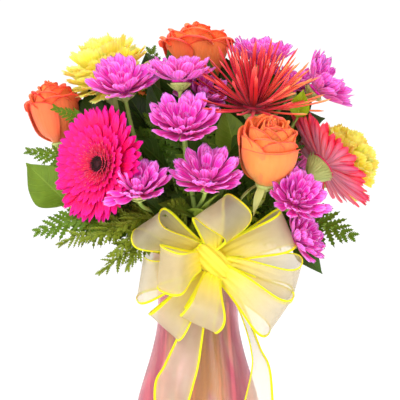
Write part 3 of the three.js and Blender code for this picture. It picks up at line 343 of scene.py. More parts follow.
LOOKS = {
    # The magenta petals' dark red-violet root is partly their own darker base, partly painted shade deep in the bloom.
    "magenta": petal_material(
        "magenta petal", (190, 6, 100), (248, 50, 196), (255, 136, 236), (252, 112, 216), root_reach=0.45,
        tip_reach=0.38, veins=3.0, vein_depth=0.6, mottle=0.4, rim=(255, 160, 244), rim_share=0.3),
    "hot_pink": petal_material(
        "hot pink petal", (240, 6, 44), (253, 4, 106), (255, 14, 150), (246, 40, 150), 0.25, 0.02, root_reach=0.6,
        tip_reach=0.3, veins=5.0, vein_depth=0.3),
    "fringe": petal_material(
        "gerbera floret", (200, 4, 44), (255, 24, 90), (255, 124, 140), (252, 40, 90), tip_reach=0.3),
    "rose_pink": petal_material(
        "rose pink petal", (255, 140, 156), (252, 40, 104), (244, 4, 76), (255, 136, 160), 0.25, 0.0, root_reach=0.4,
        tip_reach=0.45, veins=2.0, vein_depth=0.4, mottle=0.6, rim=(240, 0, 62), rim_share=1.0),
    "eye": petal_material(
        "gerbera eye", (16, 3, 6), (28, 4, 8), (70, 8, 16), (20, 3, 7), root_reach=0.5, tip_reach=0.3, vein_depth=0.1),
    "orange": petal_material(
        "orange petal", (255, 164, 84), (255, 112, 62), (244, 62, 40), (255, 124, 66), 0.12, root_reach=0.6,
        tip_reach=0.24, veins=9.0, vein_depth=0.08, mottle=0.3, rim=(240, 56, 40), rim_share=0.35),
    "peach": petal_material(
        "peach petal", (255, 190, 84), (253, 128, 64), (248, 92, 66), (253, 140, 70), 0.12, root_reach=0.6,
        tip_reach=0.24, veins=9.0, vein_depth=0.07, mottle=0.3, rim=(250, 100, 76), rim_share=0.4),
    "yellow": petal_material(
        "yellow petal", (255, 204, 40), (255, 228, 70), (255, 242, 132), (255, 230, 84), 0.15, root_reach=0.6,
        tip_reach=0.3, veins=9.0, vein_depth=0.12),
    "red": petal_material(
        "red petal", (136, 6, 26), (206, 20, 48), (238, 84, 80), (220, 50, 66), 0.15, root_reach=0.4, tip_reach=0.35,
        veins=2.0, vein_depth=0.3),
    "coral": petal_material(
        "coral petal", (186, 20, 40), (236, 84, 66), (250, 150, 84), (238, 100, 76), 0.15, root_reach=0.5,
        tip_reach=0.4, veins=2.0, vein_depth=0.3),
    "leaf": leaf_material("broad leaf", (18, 38, 2), (112, 142, 34), (140, 164, 60), 8.0),
    "fern": leaf_material("fern", (24, 50, 2), (112, 148, 22), (136, 166, 50), 5.0),
    # A darker copy of the fern's colours for fronds inside the bouquet: painted shade.
    "shaded_fern_copy": leaf_material("fern with painted shade", (12, 30, 2), (78, 112, 18), (104, 134, 40), 5.0),
    # A darker copy of the leaf's colours for leaves inside the bouquet: painted shade.
    "shaded_leaf_copy": leaf_material("leaf with painted shade", (10, 24, 2), (66, 98, 24), (96, 124, 44), 8.0),
    "cedar": leaf_material("feathery leaf", (46, 66, 4), (146, 162, 38), (158, 174, 66), 4.0),
    "bright": leaf_material("bright leaf", (104, 144, 10), (176, 206, 34), (196, 216, 90), 7.0),
    "stem": stem_material("stem", (96, 126, 44), (168, 196, 96), (196, 116, 62), 0.4),
    "calyx": stem_material("calyx", (134, 158, 64), (226, 232, 150), (206, 160, 96), 0.15),
    "glass": glass_material("pink glass", (240, 144, 168), (253, 208, 200), (250, 196, 146), 1.45, 0.14, 0.77),
    "water": glass_material("water", (250, 250, 244), (246, 246, 240), (250, 248, 240), 1.33, 0.0, 1.0),
    "ribbon": ribbon_material(),
    "satin_edge": petal_material(
        "satin edge", (252, 230, 10), (255, 242, 4), (255, 246, 30), (253, 234, 10), veins=60.0, vein_depth=0.12),
}


# ---------------------------------------------------------------- meshes
def polar(radius, angle, height):
    """Points by their distance from the axis, angle and height."""
    radius, angle, height = np.broadcast_arrays(radius, angle, height)
    return np.stack([radius * np.cos(angle), radius * np.sin(angle), height], -1)


def corners(table):
    """The four corners of each cell of a table, in order."""
    return np.stack([table[:-1, :-1], table[:-1, 1:], table[1:, 1:], table[1:, :-1]], 2)


def flat_map(rows, cols, height=1.0):
    """The UV map of a grid: x from 0 to 1 across it, y from 0 along it."""
    v, u = np.meshgrid(np.linspace(0, height, rows), np.linspace(0, 1, cols), indexing="ij")
    return corners(np.stack([u, v], 2)).reshape(-1, 4, 2)


class Skin:
    """Collects closed sheets, tubes and turned bodies that become one piece."""

    def __init__(self):
        self.points, self.faces, self.uvs, self.tones, self.looks = [], [], [], [], []
        self.count = 0

    def patch(self, points, faces, uvs, tone, look=0):
        """Points, faces as rows of point numbers, and the place in the UV map of each corner of each face."""
        points = np.asarray(points, float)
        self.points.append(points)
        self.faces.extend((np.asarray(face) + self.count).tolist() for face in faces)
        self.uvs.extend(np.asarray(uvs).reshape(-1, 2).tolist())
        self.tones.append(np.broadcast_to(tone, len(points)))
        self.looks.extend([look] * len(faces))
        self.count += len(points)

    def layer(self, grid, tone):
        """A single layer of fabric over a grid of points, its pattern at the same scale everywhere."""
        rows, cols, _ = grid.shape
        long = np.linalg.norm(np.diff(grid[:, cols // 2], axis=0), axis=1).sum() / RIBBON["width"]
        faces = corners(np.arange(rows * cols).reshape(rows, cols)).reshape(-1, 4)
        self.patch(grid.reshape(-1, 3), faces, flat_map(rows, cols, long), tone)

    def sheet(self, grid, thick, tone=0.5, look=0):
        """A thin closed sheet over a grid of points, its rows from root to tip."""
        rows, cols, _ = grid.shape
        normal = np.cross(np.gradient(grid, axis=1), np.gradient(grid, axis=0))
        normal /= np.maximum(np.linalg.norm(normal, axis=2, keepdims=True), 1e-9)
        inner = np.zeros((rows, cols), bool)
        inner[1:-1, 1:-1] = True
        half = normal * (thick / 2 * inner)[..., None]
        top = np.arange(rows * cols).reshape(rows, cols)
        low = top.copy()
        low[inner] = rows * cols + np.arange(inner.sum())
        points = np.concatenate([(grid + half).reshape(-1, 3), (grid - half)[inner]])
        faces = np.concatenate([corners(top).reshape(-1, 4), corners(low).reshape(-1, 4)[:, ::-1]])
        uv = flat_map(rows, cols)
        self.patch(points, faces, np.concatenate([uv, uv[:, ::-1] + [1, 0]]), tone, look)

    def tube(self, path, radii, sides=8, tone=0.5, look=0, flat=1.0, across=None):
        """A closed bar along a path, with a radius at each point. `flat` squeezes it along one side."""
        path = np.asarray(path, float)
        radii = np.broadcast_to(np.asarray(radii, float), len(path))
        along = np.gradient(path, axis=0)
        along /= np.linalg.norm(along, axis=1, keepdims=True)
        side = np.array((0, 1.0, 0) if abs(along[0][1]) < 0.9 else (1.0, 0, 0)) if across is None else across
        turn = np.linspace(0, TAU, sides, endpoint=False)
        rings = []
        for point, way, radius in zip(path, along, radii):
            side = unit(side - way * (side @ way))
            ring = np.outer(np.cos(turn), side) + np.outer(np.sin(turn), np.cross(way, side)) * flat
            rings.append(point + radius * ring)
        self.loft(np.array(rings), tone, look)

    def loft(self, rings, tone=0.5, look=0):
        """A closed body over rings of points that go round anticlockwise, seen from the far end."""
        n, sides, _ = rings.shape
        points = np.concatenate([rings.reshape(-1, 3), rings[:1].mean(1), rings[-1:].mean(1)])
        around_it = np.arange(n * sides).reshape(n, sides)
        faces = corners(np.concatenate([around_it, around_it[:, :1]], 1)).reshape(-1, 4).tolist()
        uvs = flat_map(n, sides + 1).reshape(-1, 2).tolist()
        last = (n - 1) * sides
        for j in range(sides):
            k = (j + 1) % sides
            faces += [(k, j, n * sides), (last + j, last + k, n * sides + 1)]
            uvs += [(0.5, 0)] * 3 + [(0.5, 1)] * 3
        self.patch(points, faces, uvs, tone, look)

    def mesh(self, name, looks):
        """The mesh, in metres."""
        points = np.concatenate(self.points) * MM
        mesh = bpy.data.meshes.new(name)
        mesh.from_pydata(points.tolist(), [], self.faces)
        layer = mesh.uv_layers.new(name="petal")
        layer.data.foreach_set("uv", np.asarray(self.uvs, "f").ravel())
        tone = mesh.attributes.new("tone", "FLOAT", "POINT")
        tone.data.foreach_set("value", np.concatenate(self.tones).astype("f"))
        for look in looks:
            mesh.materials.append(LOOKS[look])
        mesh.polygons.foreach_set("material_index", self.looks)
        mesh.polygons.foreach_set("use_smooth", [True] * len(mesh.polygons))
        mesh.update(calc_edges=True)
        mesh.set_sharp_from_angle(angle=math.radians(80))
        return mesh

    def shown(self, name, looks, slot, *nodes):
        return shown(name, self.mesh(name, looks), slot, *nodes)


def shown(name, mesh, slot, *nodes):
    """A finished piece, in the place of the CAD nodes that it stands for."""
    piece = bpy.data.objects.new(name, mesh)
    bpy.context.collection.objects.link(piece)
    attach(piece, "root")
    if nodes:
        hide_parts(*nodes)
    return piece


def unit(vector):
    vector = np.asarray(vector, float)
    return vector / np.linalg.norm(vector)


def smooth_line(points, count):
    """A smooth line through points, with `count` places evenly spread between its ends by point number."""
    points = np.asarray(points, float)
    padded = np.concatenate([points[:1], points, points[-1:]])
    place = np.linspace(0, len(points) - 1, count)
    i = np.minimum(place.astype(int), len(points) - 2)
    t = (place - i)[:, None]
    a, b, c, d = (padded[i + k] for k in range(4))
    return b + (c - a) / 2 * t + (a - 2.5 * b + 2 * c - d / 2) * t**2 + (1.5 * (b - c) + (d - a) / 2) * t**3


def spread(line, count):
    """The same line, with its places evenly spread along its length."""
    run = np.concatenate([[0], np.cumsum(np.linalg.norm(np.diff(line, axis=0), axis=1))])
    at = np.linspace(0, run[-1], count)
    return np.stack([np.interp(at, run, line[:, k]) for k in range(3)], 1)


def read_off(profile, at, count=60):
    """The smooth line through a table of pairs, read as a function of its first column."""
    line = smooth_line(profile, count)
    return np.interp(at, line[:, 0], line[:, 1])


class Place:
    """A bloom's own frame: origin where its petals are attached, Z along its facing."""

    def __init__(self, bloom):
        z = unit(bloom["facing"])
        x = np.cross((0, 0, 1), z)
        if np.linalg.norm(x) < 0.05:
            x = np.array((1, 0, 0)) - z * z[0]
        x = unit(x)
        self.origin = np.asarray(bloom["place"], float)
        self.axes = np.stack([x, np.cross(z, x), z])
        self.z = z

    def at(self, points):
        return self.origin + np.asarray(points, float) @ self.axes

    def turned(self, skin, steps, sides=20, tone=0.5, look=0):
        """A turned body, from (radius, height) steps, smooth between them."""
        angle = np.linspace(0, TAU, sides, endpoint=False)
        line = smooth_line(steps, 3 * len(steps))
        skin.loft(np.array([self.at(polar(max(r, 0.05), angle, h)) for r, h in line]), tone, look)


# ---------------------------------------------------------------- the petals of the CAD model
BENT = (0, 9, -9, 18, -18, 28, -28, 40, 54)
SHORTENED = (1, 0.82, 0.66, 0.5, 0.36)
STUB = (12, 0.2)
WAYS = [(bend, share) for share in SHORTENED for bend in BENT] + [STUB]


def draw_from(seed):
    """The same repeatable stream of numbers as the CAD model's."""
    state = seed * 7919 + 17
    while True:
        state = state * 48271 % 2147483647
        yield state / 2147483647


def petal_end(place, form, bend, share):
    """The two corners of a petal's tip in the CAD model."""
    reach = form["length"] * share / 2
    r, h = form["root"], form["base"]
    for part in (0.5, 1):
        slope = math.radians(form["rise"] + bend + form["curl"] * part)
        r += math.cos(slope) * reach
        h += math.sin(slope) * reach
    half = form["tip"] * form["width"] / 2
    c, s = math.cos(form["turn"]), math.sin(form["turn"])
    return place.at([(r * c + k * half * s, r * s - k * half * c, h) for k in (-1, 1)])


def fan_end(place, form, bend, share):
    """Two places on the edge of a carnation's petal in the CAD model."""
    slope = math.radians(form["rise"] + bend)
    points = []
    for u, v, lift in ((-0.92, 0.9, -form["wave"]), (0.92, 1.02, 0.8 * form["wave"])):
        along = v * form["length"] * share
        r = form["root"] + along * math.cos(slope) - lift * math.sin(slope)
        h = form["base"] + along * math.sin(slope) + lift * math.cos(slope)
        points.append(polar(r, form["turn"] + u * form["half"] * 0.96, h))
    return place.at(points)


def cad_tree(node):
    """The corners of a CAD node, in millimetres, ready to be searched."""
    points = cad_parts[node].data.vertices
    tree = kdtree.KDTree(len(points))
    for k, point in enumerate(points):
        tree.insert(point.co / MM, k)
    tree.balance()
    return tree


class Row:
    """One row of a bloom's petals as the CAD model bends and shortens them, read at any angle."""

    def __init__(self, tree, place, forms, end_of):
        found = []
        for form in forms:
            def miss(way):
                return sum(tree.find(point)[2] for point in end_of(place, form, *way))

            found.append((form["turn"], *min(WAYS, key=miss), form["rise"], form["length"]))
        self.turns, *self.values = np.array(sorted(found)).T
        self.form = forms[0]

    def at(self, turn):
        """Bend, share, rise and length at an angle, each mixed from the two nearest petals."""
        return [float(np.interp(turn % TAU, self.turns, values, period=TAU)) for values in self.values]


def rows_of(node, place, kind, end_of, form_of):
    """The rows of the CAD model's petals, from the outside in."""
    rows = [[form_of(row, layer, k) for k in range(row["count"])] for layer, row in enumerate(kind["rows"])]
    tree = cad_tree(node)
    return [Row(tree, place, forms, end_of) for forms in rows]


def petal_rows(node, place, kind, size, loose, seed):
    draw = draw_from(seed)

    def form_of(row, layer, k):
        turn = TAU * (k + 0.5 * layer + 0.35 * loose * (next(draw) - 0.5)) / row["count"]
        rise = row["rise"] + 12 * loose * (next(draw) - 0.5)
        length = row["length"] * size * (1 + 0.14 * loose * (next(draw) - 0.5))
        return {**row, "turn": turn, "rise": rise, "length": length, "width": row["width"] * size}

    return rows_of(node, place, kind, petal_end, form_of)


def fan_rows(node, place, kind, size, seed):
    draw = draw_from(seed)

    def form_of(row, layer, k):
        turn = TAU * (k + 0.5 * layer + 0.2 * (next(draw) - 0.5)) / row["count"]
        wave = kind["ruffle"] * (1 if k % 2 else -1) * (0.7 + 0.5 * next(draw))
        form = {key: row[key] * size for key in ("root", "base", "length")}
        return {**form, "rise": row["rise"], "turn": turn, "wave": wave, "half": math.pi / row["count"]}

    return rows_of(node, place, kind, fan_end, form_of)


# ---------------------------------------------------------------- kinds of bloom
def rows_by(names, *rows):
    """Rows of values, each under its name."""
    return [dict(zip(names.split(), row)) for row in rows]


PETALS = "count root base length width rise curl tip"
DAISY = {
    "stem": 2.1, "cup": [(2.6, -10), (8.6, -3.2)],
    "rows": rows_by(PETALS, (11, 5.5, 0, 29, 11, 8, 26, 0.45), (7, 4, 2, 23, 9.4, 46, 14, 0.4)),
}
GERBERA = {
    "stem": 3.1, "cup": [(2.6, -19), (8, -15), (13.2, -3.4)],
    "rows": rows_by(PETALS, (23, 12, -1, 41, 10.8, 3, 10, 0.5), (14, 10.5, 1.2, 27, 8.8, 15, 8, 0.45)),
}
SPIDER = {
    "stem": 2.8, "cup": [(2.4, -13), (7, -9), (10.5, -4.2)],
    "rows": rows_by(PETALS, (12, 9, 0, 56, 3.8, 4, 8, 1), (11, 7.5, 3, 60, 3.8, 26, 4, 1),
                    (9, 6, 6, 56, 3.8, 48, 2, 1), (6, 4, 8, 48, 3.8, 70, 0, 1)),
}
CARNATION = {
    "stem": 2.6, "cup": [(2.2, -34), (6.6, -29), (9, -8.4)], "ruffle": 4,
    "rows": rows_by("count root base length rise", (10, 9, -3, 27, -8), (9, 8, 1, 27, 18), (8, 6.5, 5, 26, 40),
                    (6, 4.5, 9, 23, 60), (3, 2.5, 12, 17, 80)),
}
ROSE = {
    "stem": 3, "cup": [(2.6, -9), (6, -6.5), (8.4, -1.4)],
    # a petal's line gives its radius and height at even steps from its root to its lip
    "rows": rows_by("count dip parts lip line", (5, 3, 2, 2.6, [(7, 0), (18.5, 11), (23, 29), (23.5, 42)]),
                    (4, 4, 2, 2.3, [(6, 3), (14.5, 17), (18.5, 34), (17.5, 50)]),
                    (3, 4, 2, 1.6, [(4.5, 6), (11.5, 24), (12.5, 40), (8.5, 55)]),
                    (3, 2, 3, 0.8, [(2.5, 12), (6.5, 30), (6.5, 44), (2.5, 57)])),
}


# ---------------------------------------------------------------- where the blooms are
def bloom(name, slot, place, facing, **more):
    """A bloom: its stem's ring and number in the vase, where its petals are attached, and the way it faces."""
    return {"name": name, "slot": slot, "place": place, "facing": facing, **more}


def spray(name, slot, fork, *heads):
    return {"name": name, "slot": slot, "fork": fork, "heads": rows_by("name place facing size", *heads)}


GERBERAS = [
    bloom("gerbera_left", (3, 11), (-84, -56, 272), (-0.66, -0.74, 0.1), look="hot_pink"),
    bloom("gerbera_right", (3, 0), (112, -22, 273), (0.74, 0.28, 0.61), look="rose_pink", loose=2),
]
ROSES = [
    bloom("rose_left", (2, 6), (-124, 2, 295), (-0.2, -0.14, 0.97), size=0.94),
    bloom("rose_top", (0, 0), (-2, 16, 342), (0.02, -0.04, 1), size=1.04, flare=6),
    bloom("rose_front", (2, 10), (58, -66, 257), (0.06, -0.38, 0.92), size=1.1, heart=(0.14, -0.66, 0.74),
          look="peach", slim=0.92, wrap=264),
    bloom("rose_back", (2, 4), (-42, 58, 296), (-0.3, 0.56, 0.77), flare=4),
]
CARNATIONS = [
    bloom("carnation_left", (1, 3), (-80, 8, 351), (-0.32, -0.12, 0.94), size=1.12, fluffy=0.3),
    bloom("carnation_right", (3, 1), (129, 30, 274), (0.74, 0.2, 0.64), size=1.06),
]
SPIDERS = [bloom("spider_mum", (1, 5), (49, -46, 322), (0.08, -0.3, 0.95))]
SPRAYS = [
    spray("spray_front", (2, 9), (-2, -44, 226),
          ("daisy_upper", (-16, -58, 346), (-0.04, -0.08, 1), 1),
          ("daisy_middle", (-12, -80, 302), (0, -0.66, 0.75), 1.08),
          ("daisy_lower", (7, -92, 257), (0.06, -0.62, 0.78), 1.04)),
    spray("spray_left", (2, 8), (-28, -44, 226),
          ("daisy_high_left", (-65, -46, 338), (-0.14, -0.5, 0.85), 1.08),
          ("daisy_low_left", (-51, -86, 249), (-0.04, -0.6, 0.8), 1)),
    spray("spray_top", (1, 0), (22, -4, 262),
          ("daisy_hidden", (2, -34, 332), (0.3, -0.6, 0.72), 0.86),
          ("daisy_high", (57, 6, 366), (0.12, -0.22, 0.97), 0.96),
          ("daisy_high_right", (84, 2, 342), (0.4, -0.1, 0.9), 0.8)),
    spray("spray_right", (3, 16), (58, -29, 234),
          ("daisy_far_right", (106, -14, 340), (0.7, -0.2, 0.66), 1.06),
          ("daisy_low_right", (84, -76, 240), (0.34, -0.76, 0.55), 0.86),
          ("daisy_lowest", (86, -58, 208), (0.82, -0.4, 0.38), 0.86)),
    spray("spray_back", (2, 2), (26, 44, 240),
          ("daisy_back_high", (30, 58, 336), (0.2, 0.55, 0.8), 1),
          ("daisy_back_right", (84, 72, 262), (0.5, 0.72, 0.47), 0.95)),
]
DAISIES = [head for spray in SPRAYS for head in spray["heads"]]


# ---------------------------------------------------------------- petals
class Draw(random.Random):
    """Repeatable random numbers."""

    def off(self, most=1.0):
        """A number within half of `most` of 0."""
        return most * (self.random() - 0.5)


def petal_grid(form, rows=9, cols=7):
    """A petal's surface in its bloom's frame, from root to tip and from its left edge to its right."""
    v = np.linspace(0, 1, rows)[:, None]
    u = np.linspace(-1, 1, cols)[None, :]
    slope = np.radians(form["rise"] + form["curl"] * (0.25 + v)) + 0 * u
    step = form["length"] / (rows - 1)

    def travelled(rate):
        return np.concatenate([[[0]], np.cumsum((rate[1:] + rate[:-1]) / 2, axis=0)[:, :1]]) * step

    half = form["width"] / 2 * read_off(form["outline"], v, 40)
    lift = form.get("hollow", 0) * (u**2 - 0.6) * np.sin(math.pi * np.clip(v, 0.08, 0.75))
    lift = lift + form.get("groove", 0) * np.cos(3 * math.pi * u) * np.sin(math.pi * v)
    lift = lift + form.get("wave", 0) * np.sin(form.get("phase", 0) + 7 * v + 2 * u) * v
    twist = np.radians(form.get("twist", 0)) * v
    lift = lift + u * half * np.sin(twist)
    notch = form.get("notch", 0) * form["length"] * v**8 * (0.5 - 0.5 * np.cos(3 * math.pi * u))
    r = form["root"] + travelled(np.cos(slope)) - notch * np.cos(slope) - lift * np.sin(slope)
    h = form["base"] + travelled(np.sin(slope)) - notch * np.sin(slope) + lift * np.cos(slope)
    y = form.get("sway", 0) * v**2 - u * half * np.cos(twist)
    c, s = math.cos(form["turn"]), math.sin(form["turn"])
    return np.stack([r * c - y * s, r * s + y * c, h], 2)


def whorls(skin, place, look, seed, *rings):
    """Rings of petals that follow rows of the CAD model: the row, how many petals, how loosely they stand, the
    size of their grids, and what their form has in place of the row's."""
    for number, (row, count, loose, grid, changes) in enumerate(rings):
        draw, shape = Draw(seed + 100 * number), {**look, **changes}
        for k in range(count):
            turn = TAU * (k + shape.get("shift", 0) + loose * draw.off(0.3)) / count
            bend, share, rise, length = row.at(turn)
            form = {**row.form, **shape, "turn": turn}
            form["rise"] = rise + bend + shape.get("lift", 0) + loose * draw.off(7)
            form["length"] = length * share * shape.get("reach", 1) * (1 + loose * draw.off(0.1))
            form["width"] = row.form["width"] * shape["breadth"] * min(1, 0.5 + 0.6 * share)
            form["twist"] = loose * draw.off(24)
            form["sway"] = form["length"] * loose * draw.off(0.12)
            form["phase"] = 6 * draw.random()
            skin.sheet(place.at(petal_grid(form, *grid)), 0.7, draw.random())


# A petal's width from its root to its tip, as shares of its length and of its greatest width.
SPOON = [(0, 0.3), (0.3, 0.6), (0.65, 1), (0.85, 0.92), (0.95, 0.66), (1, 0.28)]
STRAP = [(0, 0.4), (0.25, 0.8), (0.6, 1), (0.86, 0.86), (0.96, 0.6), (1, 0.3)]
POINTED = [(0, 0.9), (0.3, 1), (0.6, 0.72), (0.85, 0.3), (1, 0.03)]
FULL = (9, 7)


def daisy(bloom, seed):
    """A spray chrysanthemum: two rows of broad petals, shorter ones cupped over a tuft of florets."""
    name, place, size = bloom["name"], Place(bloom), bloom["size"]
    outer, inner = petal_rows(name, place, DAISY, size, 1, seed)
    skin = Skin()
    whorls(
        skin, place, {"outline": SPOON, "groove": 0.45, "notch": 0.06, "wave": 0.8}, seed,
        (outer, 12, 1.3, FULL, {"breadth": 1.08, "hollow": 1.3}),
        (outer, 11, 1.5, FULL, {"shift": 0.5, "breadth": 1, "base": 1.6, "lift": 13, "reach": 0.95, "hollow": 1.6}),
        (inner, 8, 1.6, FULL, {"breadth": 1.1, "lift": -8, "hollow": 2}),
        (inner, 6, 1.5, FULL, {"shift": 0.4, "breadth": 0.86, "base": 3, "lift": 12, "reach": 0.84, "hollow": 2.2}),
        (inner, 5, 1.5, (6, 5), {"breadth": 0.6, "root": 2.4, "base": 3.6, "lift": 28, "reach": 0.55, "hollow": 1.2}),
    )
    place.turned(skin, [(1, -2.6), (6.4 * size, -2), (6.2 * size, 1.5), (4 * size, 4.2), (0.2, 5)], 16, 0.1)
    skin.shown(name + "_petals", ["magenta"], "magenta_petals", name)


def gerbera(bloom, seed):
    """A gerbera: long rays in two rows, shorter ones over them, and fringes of small florets round the eye."""
    name, look, place, loose = bloom["name"], bloom["look"], Place(bloom), bloom.get("loose", 1)
    outer, inner = petal_rows(name, place, GERBERA, 1, 0.5, seed)
    skin = Skin()
    whorls(
        skin, place, {"outline": STRAP, "groove": 0.3, "notch": 0.035, "wave": 0.45, "hollow": 0.9}, seed,
        (outer, 38, 0.7 * loose, FULL, {"breadth": 0.76}),
        (outer, 36, 0.8 * loose, FULL, {"shift": 0.5, "breadth": 0.7, "base": 0, "lift": 4, "reach": 0.93}),
        (inner, 34, 0.9 * loose, FULL, {"breadth": 0.72, "lift": -2}),
        (inner, 30, 1, (7, 5), {"shift": 0.5, "breadth": 0.6, "base": 2, "lift": 6, "reach": 0.66}),
        (inner, 40, 1.2, (5, 3), {"breadth": 0.3, "root": 9.8, "base": 2.4, "lift": 16, "reach": 0.46}),
    )
    for ring in ((12, 2.5, 12, 24, 76), (10.6, 3.4, 10, 36, 70), (9.2, 4.6, 8, 46, 60), (7.8, 5.6, 5.5, 54, 46)):
        fringe(skin, place, *ring, seed)
    place.turned(skin, [(1, -2.6), (11.8, -2.2), (11.8, 0.4), (9.4, 2.2), (0.2, 2.8)], 24, 0.1)
    skin.shown(name + "_rays", [look, "fringe"], look + "_petals", name)
    gerbera_eye(bloom, seed)


def fringe(skin, place, radius, height, length, lean, count, seed):
    """A ring of needle-like florets that stand out round a gerbera's eye."""
    draw = Draw(seed + radius)
    for k in range(count):
        turn = TAU * (k + 0.6 * draw.random()) / count
        slope = math.radians(lean + draw.off(24))
        reach = length * (0.7 + 0.5 * draw.random())
        line = []
        for share in (0, 0.6, 1):
            r, h = radius - 1 + reach * share * math.cos(slope), height + reach * share * math.sin(slope)
            line.append(polar(r, turn + share * draw.off(0.05), h - 0.5 * share**2))
        skin.tube(place.at(line), [0.46, 0.42, 0.12], 4, draw.random(), 1)


def spider_mum(bloom, seed):
    """A spider chrysanthemum: thin rolled quills that open into a small hooked spoon."""
    place = Place(bloom)
    rows = petal_rows(bloom["name"], place, SPIDER, 1, 1, seed)
    skin, draw = Skin(), Draw(seed)
    v = np.linspace(0, 1, 12)
    for layer, (row, share_of) in enumerate(zip(rows, (2, 3, 3, 4))):
        count = row.form["count"]
        for k in range(share_of * count):
            turn = TAU * (k / share_of + 0.5 * layer + draw.off(0.25)) / count
            bend, share, rise, length = row.at(turn)
            length *= share * (1.0 if k % share_of == 0 else 0.74 + 0.26 * draw.random())
            form = {**row.form, "turn": turn, "rise": rise + bend + 12 * (draw.random() - 0.3), "length": length,
                    "outline": [(0, 1), (1, 1)], "sway": length * draw.off(0.2), "width": 1,
                    "curl": row.form["curl"] + 26 * (draw.random() - 0.4)}
            line = place.at(petal_grid(form, 12, 3)[:, 1])
            open_end = 0.5 * draw.random()
            radii = 1.35 + 0.5 * (1 - v) ** 3 + open_end * np.exp(-(((v - 0.9) / 0.09) ** 2))
            light = int(unit(line[-1] - line[0])[0] + draw.off(0.6) > 0.5)
            skin.tube(line, radii * (1 - 0.8 * v**30), 6, draw.random(), light, flat=0.62)
    place.turned(skin, [(1, -3.6), (9.6, -3), (10, 0.5), (7, 7), (3.5, 11), (0.2, 12)], 18, 0.1)
    skin.shown("spider_mum_quills", ["red", "coral"], "red_petals", bloom["name"])


def fan_grid(form, rows=9, cols=25):
    """A carnation's petal: a broad fan whose edge is finely toothed and softly ruffled."""
    v = np.linspace(0, 1, rows)[:, None]
    u = np.linspace(-1, 1, cols)[None, :]
    slope = math.radians(form["rise"]) + form["curl"] * v
    teeth = 1 + 0.03 * np.cos(math.pi * np.arange(cols))[None, :] * v**8 + 0.03 * np.sin(4 * u + form["phase"])
    along = v * form["length"] * (teeth - form["round"] * v * np.abs(u) ** 2.6)
    ruffle = form["ruffle"] * v**1.5 * (np.sin(form["phase"] + 5 * u) + 0.35 * np.sin(2 * form["phase"] + 12 * u))
    ruffle = ruffle + form["pleat"] * v * np.cos(3 * math.pi * u)
    r = form["root"] + along * np.cos(slope) - ruffle * np.sin(slope)
    h = form["base"] + along * np.sin(slope) + ruffle * np.cos(slope)
    return polar(r, form["turn"] - u * form["half"] * (0.62 + 0.5 * v), h)


def carnation(bloom, seed):
    """A carnation: ruffled fans in rows. One that isn't fluffy has smoother, rounder petals, and more hanging ones."""
    name, place, size, fluffy = bloom["name"], Place(bloom), bloom["size"], bloom.get("fluffy", 1)
    rows = fan_rows(name, place, CARNATION, size, seed)
    skin, draw = Skin(), Draw(seed)
    for row, hang in [(rows[0], 34)] * (fluffy < 1) + [(row, 0) for row in rows]:
        count = round(math.pi / row.form["half"])
        for k in range(2 * count):
            turn = TAU * (k / 2 + draw.off(0.25)) / count
            bend, share, rise, length = row.at(turn)
            length *= share * (1.22 - 0.22 * max(fluffy, hang > 0))
            form = {**row.form, "turn": turn, "rise": rise + bend - hang + 9 * (k % 2) + draw.off(8) * fluffy,
                    "length": length * (1 - 0.1 * (k % 2)), "phase": 6 * draw.random(),
                    "curl": draw.off(0.3) + 0.25 * (1 - fluffy), "ruffle": (1.9 + draw.random()) * fluffy,
                    "pleat": 0.9 - 0.5 * fluffy, "round": 0.34 - 0.22 * fluffy,
                    "half": min((1.6 - 0.35 * fluffy) * row.form["half"], 0.75)}
            skin.sheet(place.at(fan_grid(form)), 0.5, draw.random())
    wide = [(1, -7.9), (8 * size, -7.6), (10 * size, 0), (10 * size, 8), (5 * size, 15), (0.2, 17)]
    place.turned(skin, wide, 18, 0.1)
    skin.shown(name + "_petals", ["yellow"], "yellow_petals", name)


def rose_grid(row, turn, flare, lip, phase, cols=17, spread=1.25):
    """A rose petal: cupped round the bloom, with a rounded edge that is rolled outwards."""
    v = np.concatenate([np.linspace(0, 0.8, 9), np.linspace(0.83, 1, 7)])[:, None]
    u = np.linspace(-1, 1, cols)[None, :]
    line = smooth_line(row["line"], 60)
    at = np.linspace(0, 1, 60)
    edge = 1 - 0.17 * np.abs(u) ** 2.8 + 0.012 * np.exp(-((u / 0.16) ** 2)) + 0.014 * np.sin(3 * u + phase)
    w = np.minimum(v / 0.8, 1) * 0.94 * edge
    roll = np.clip((v - 0.8) / 0.2, 0, 1) * (2.3 + 0.5 * np.sin(phase + 1.5 * u)) * (1 - 0.35 * u**2)
    lip = lip * (0.6 + 0.4 * u)
    r = np.interp(w, at, line[:, 0]) + flare * np.maximum(0, 2 * w - 1) + lip * (1 - np.cos(roll))
    r = r + 1.8 * u + 0.4 * np.sin(4 * u + phase) * v**2
    h = np.interp(w, at, line[:, 1]) - row["dip"] * u**2 * v + lip * np.sin(roll)
    wide = np.interp(v, [0, 0.2, 0.6, 1], [0.55, 0.88, 1, 0.98])
    return polar(r, turn + u * math.pi / row["count"] * spread * wide, h)[:, ::-1]


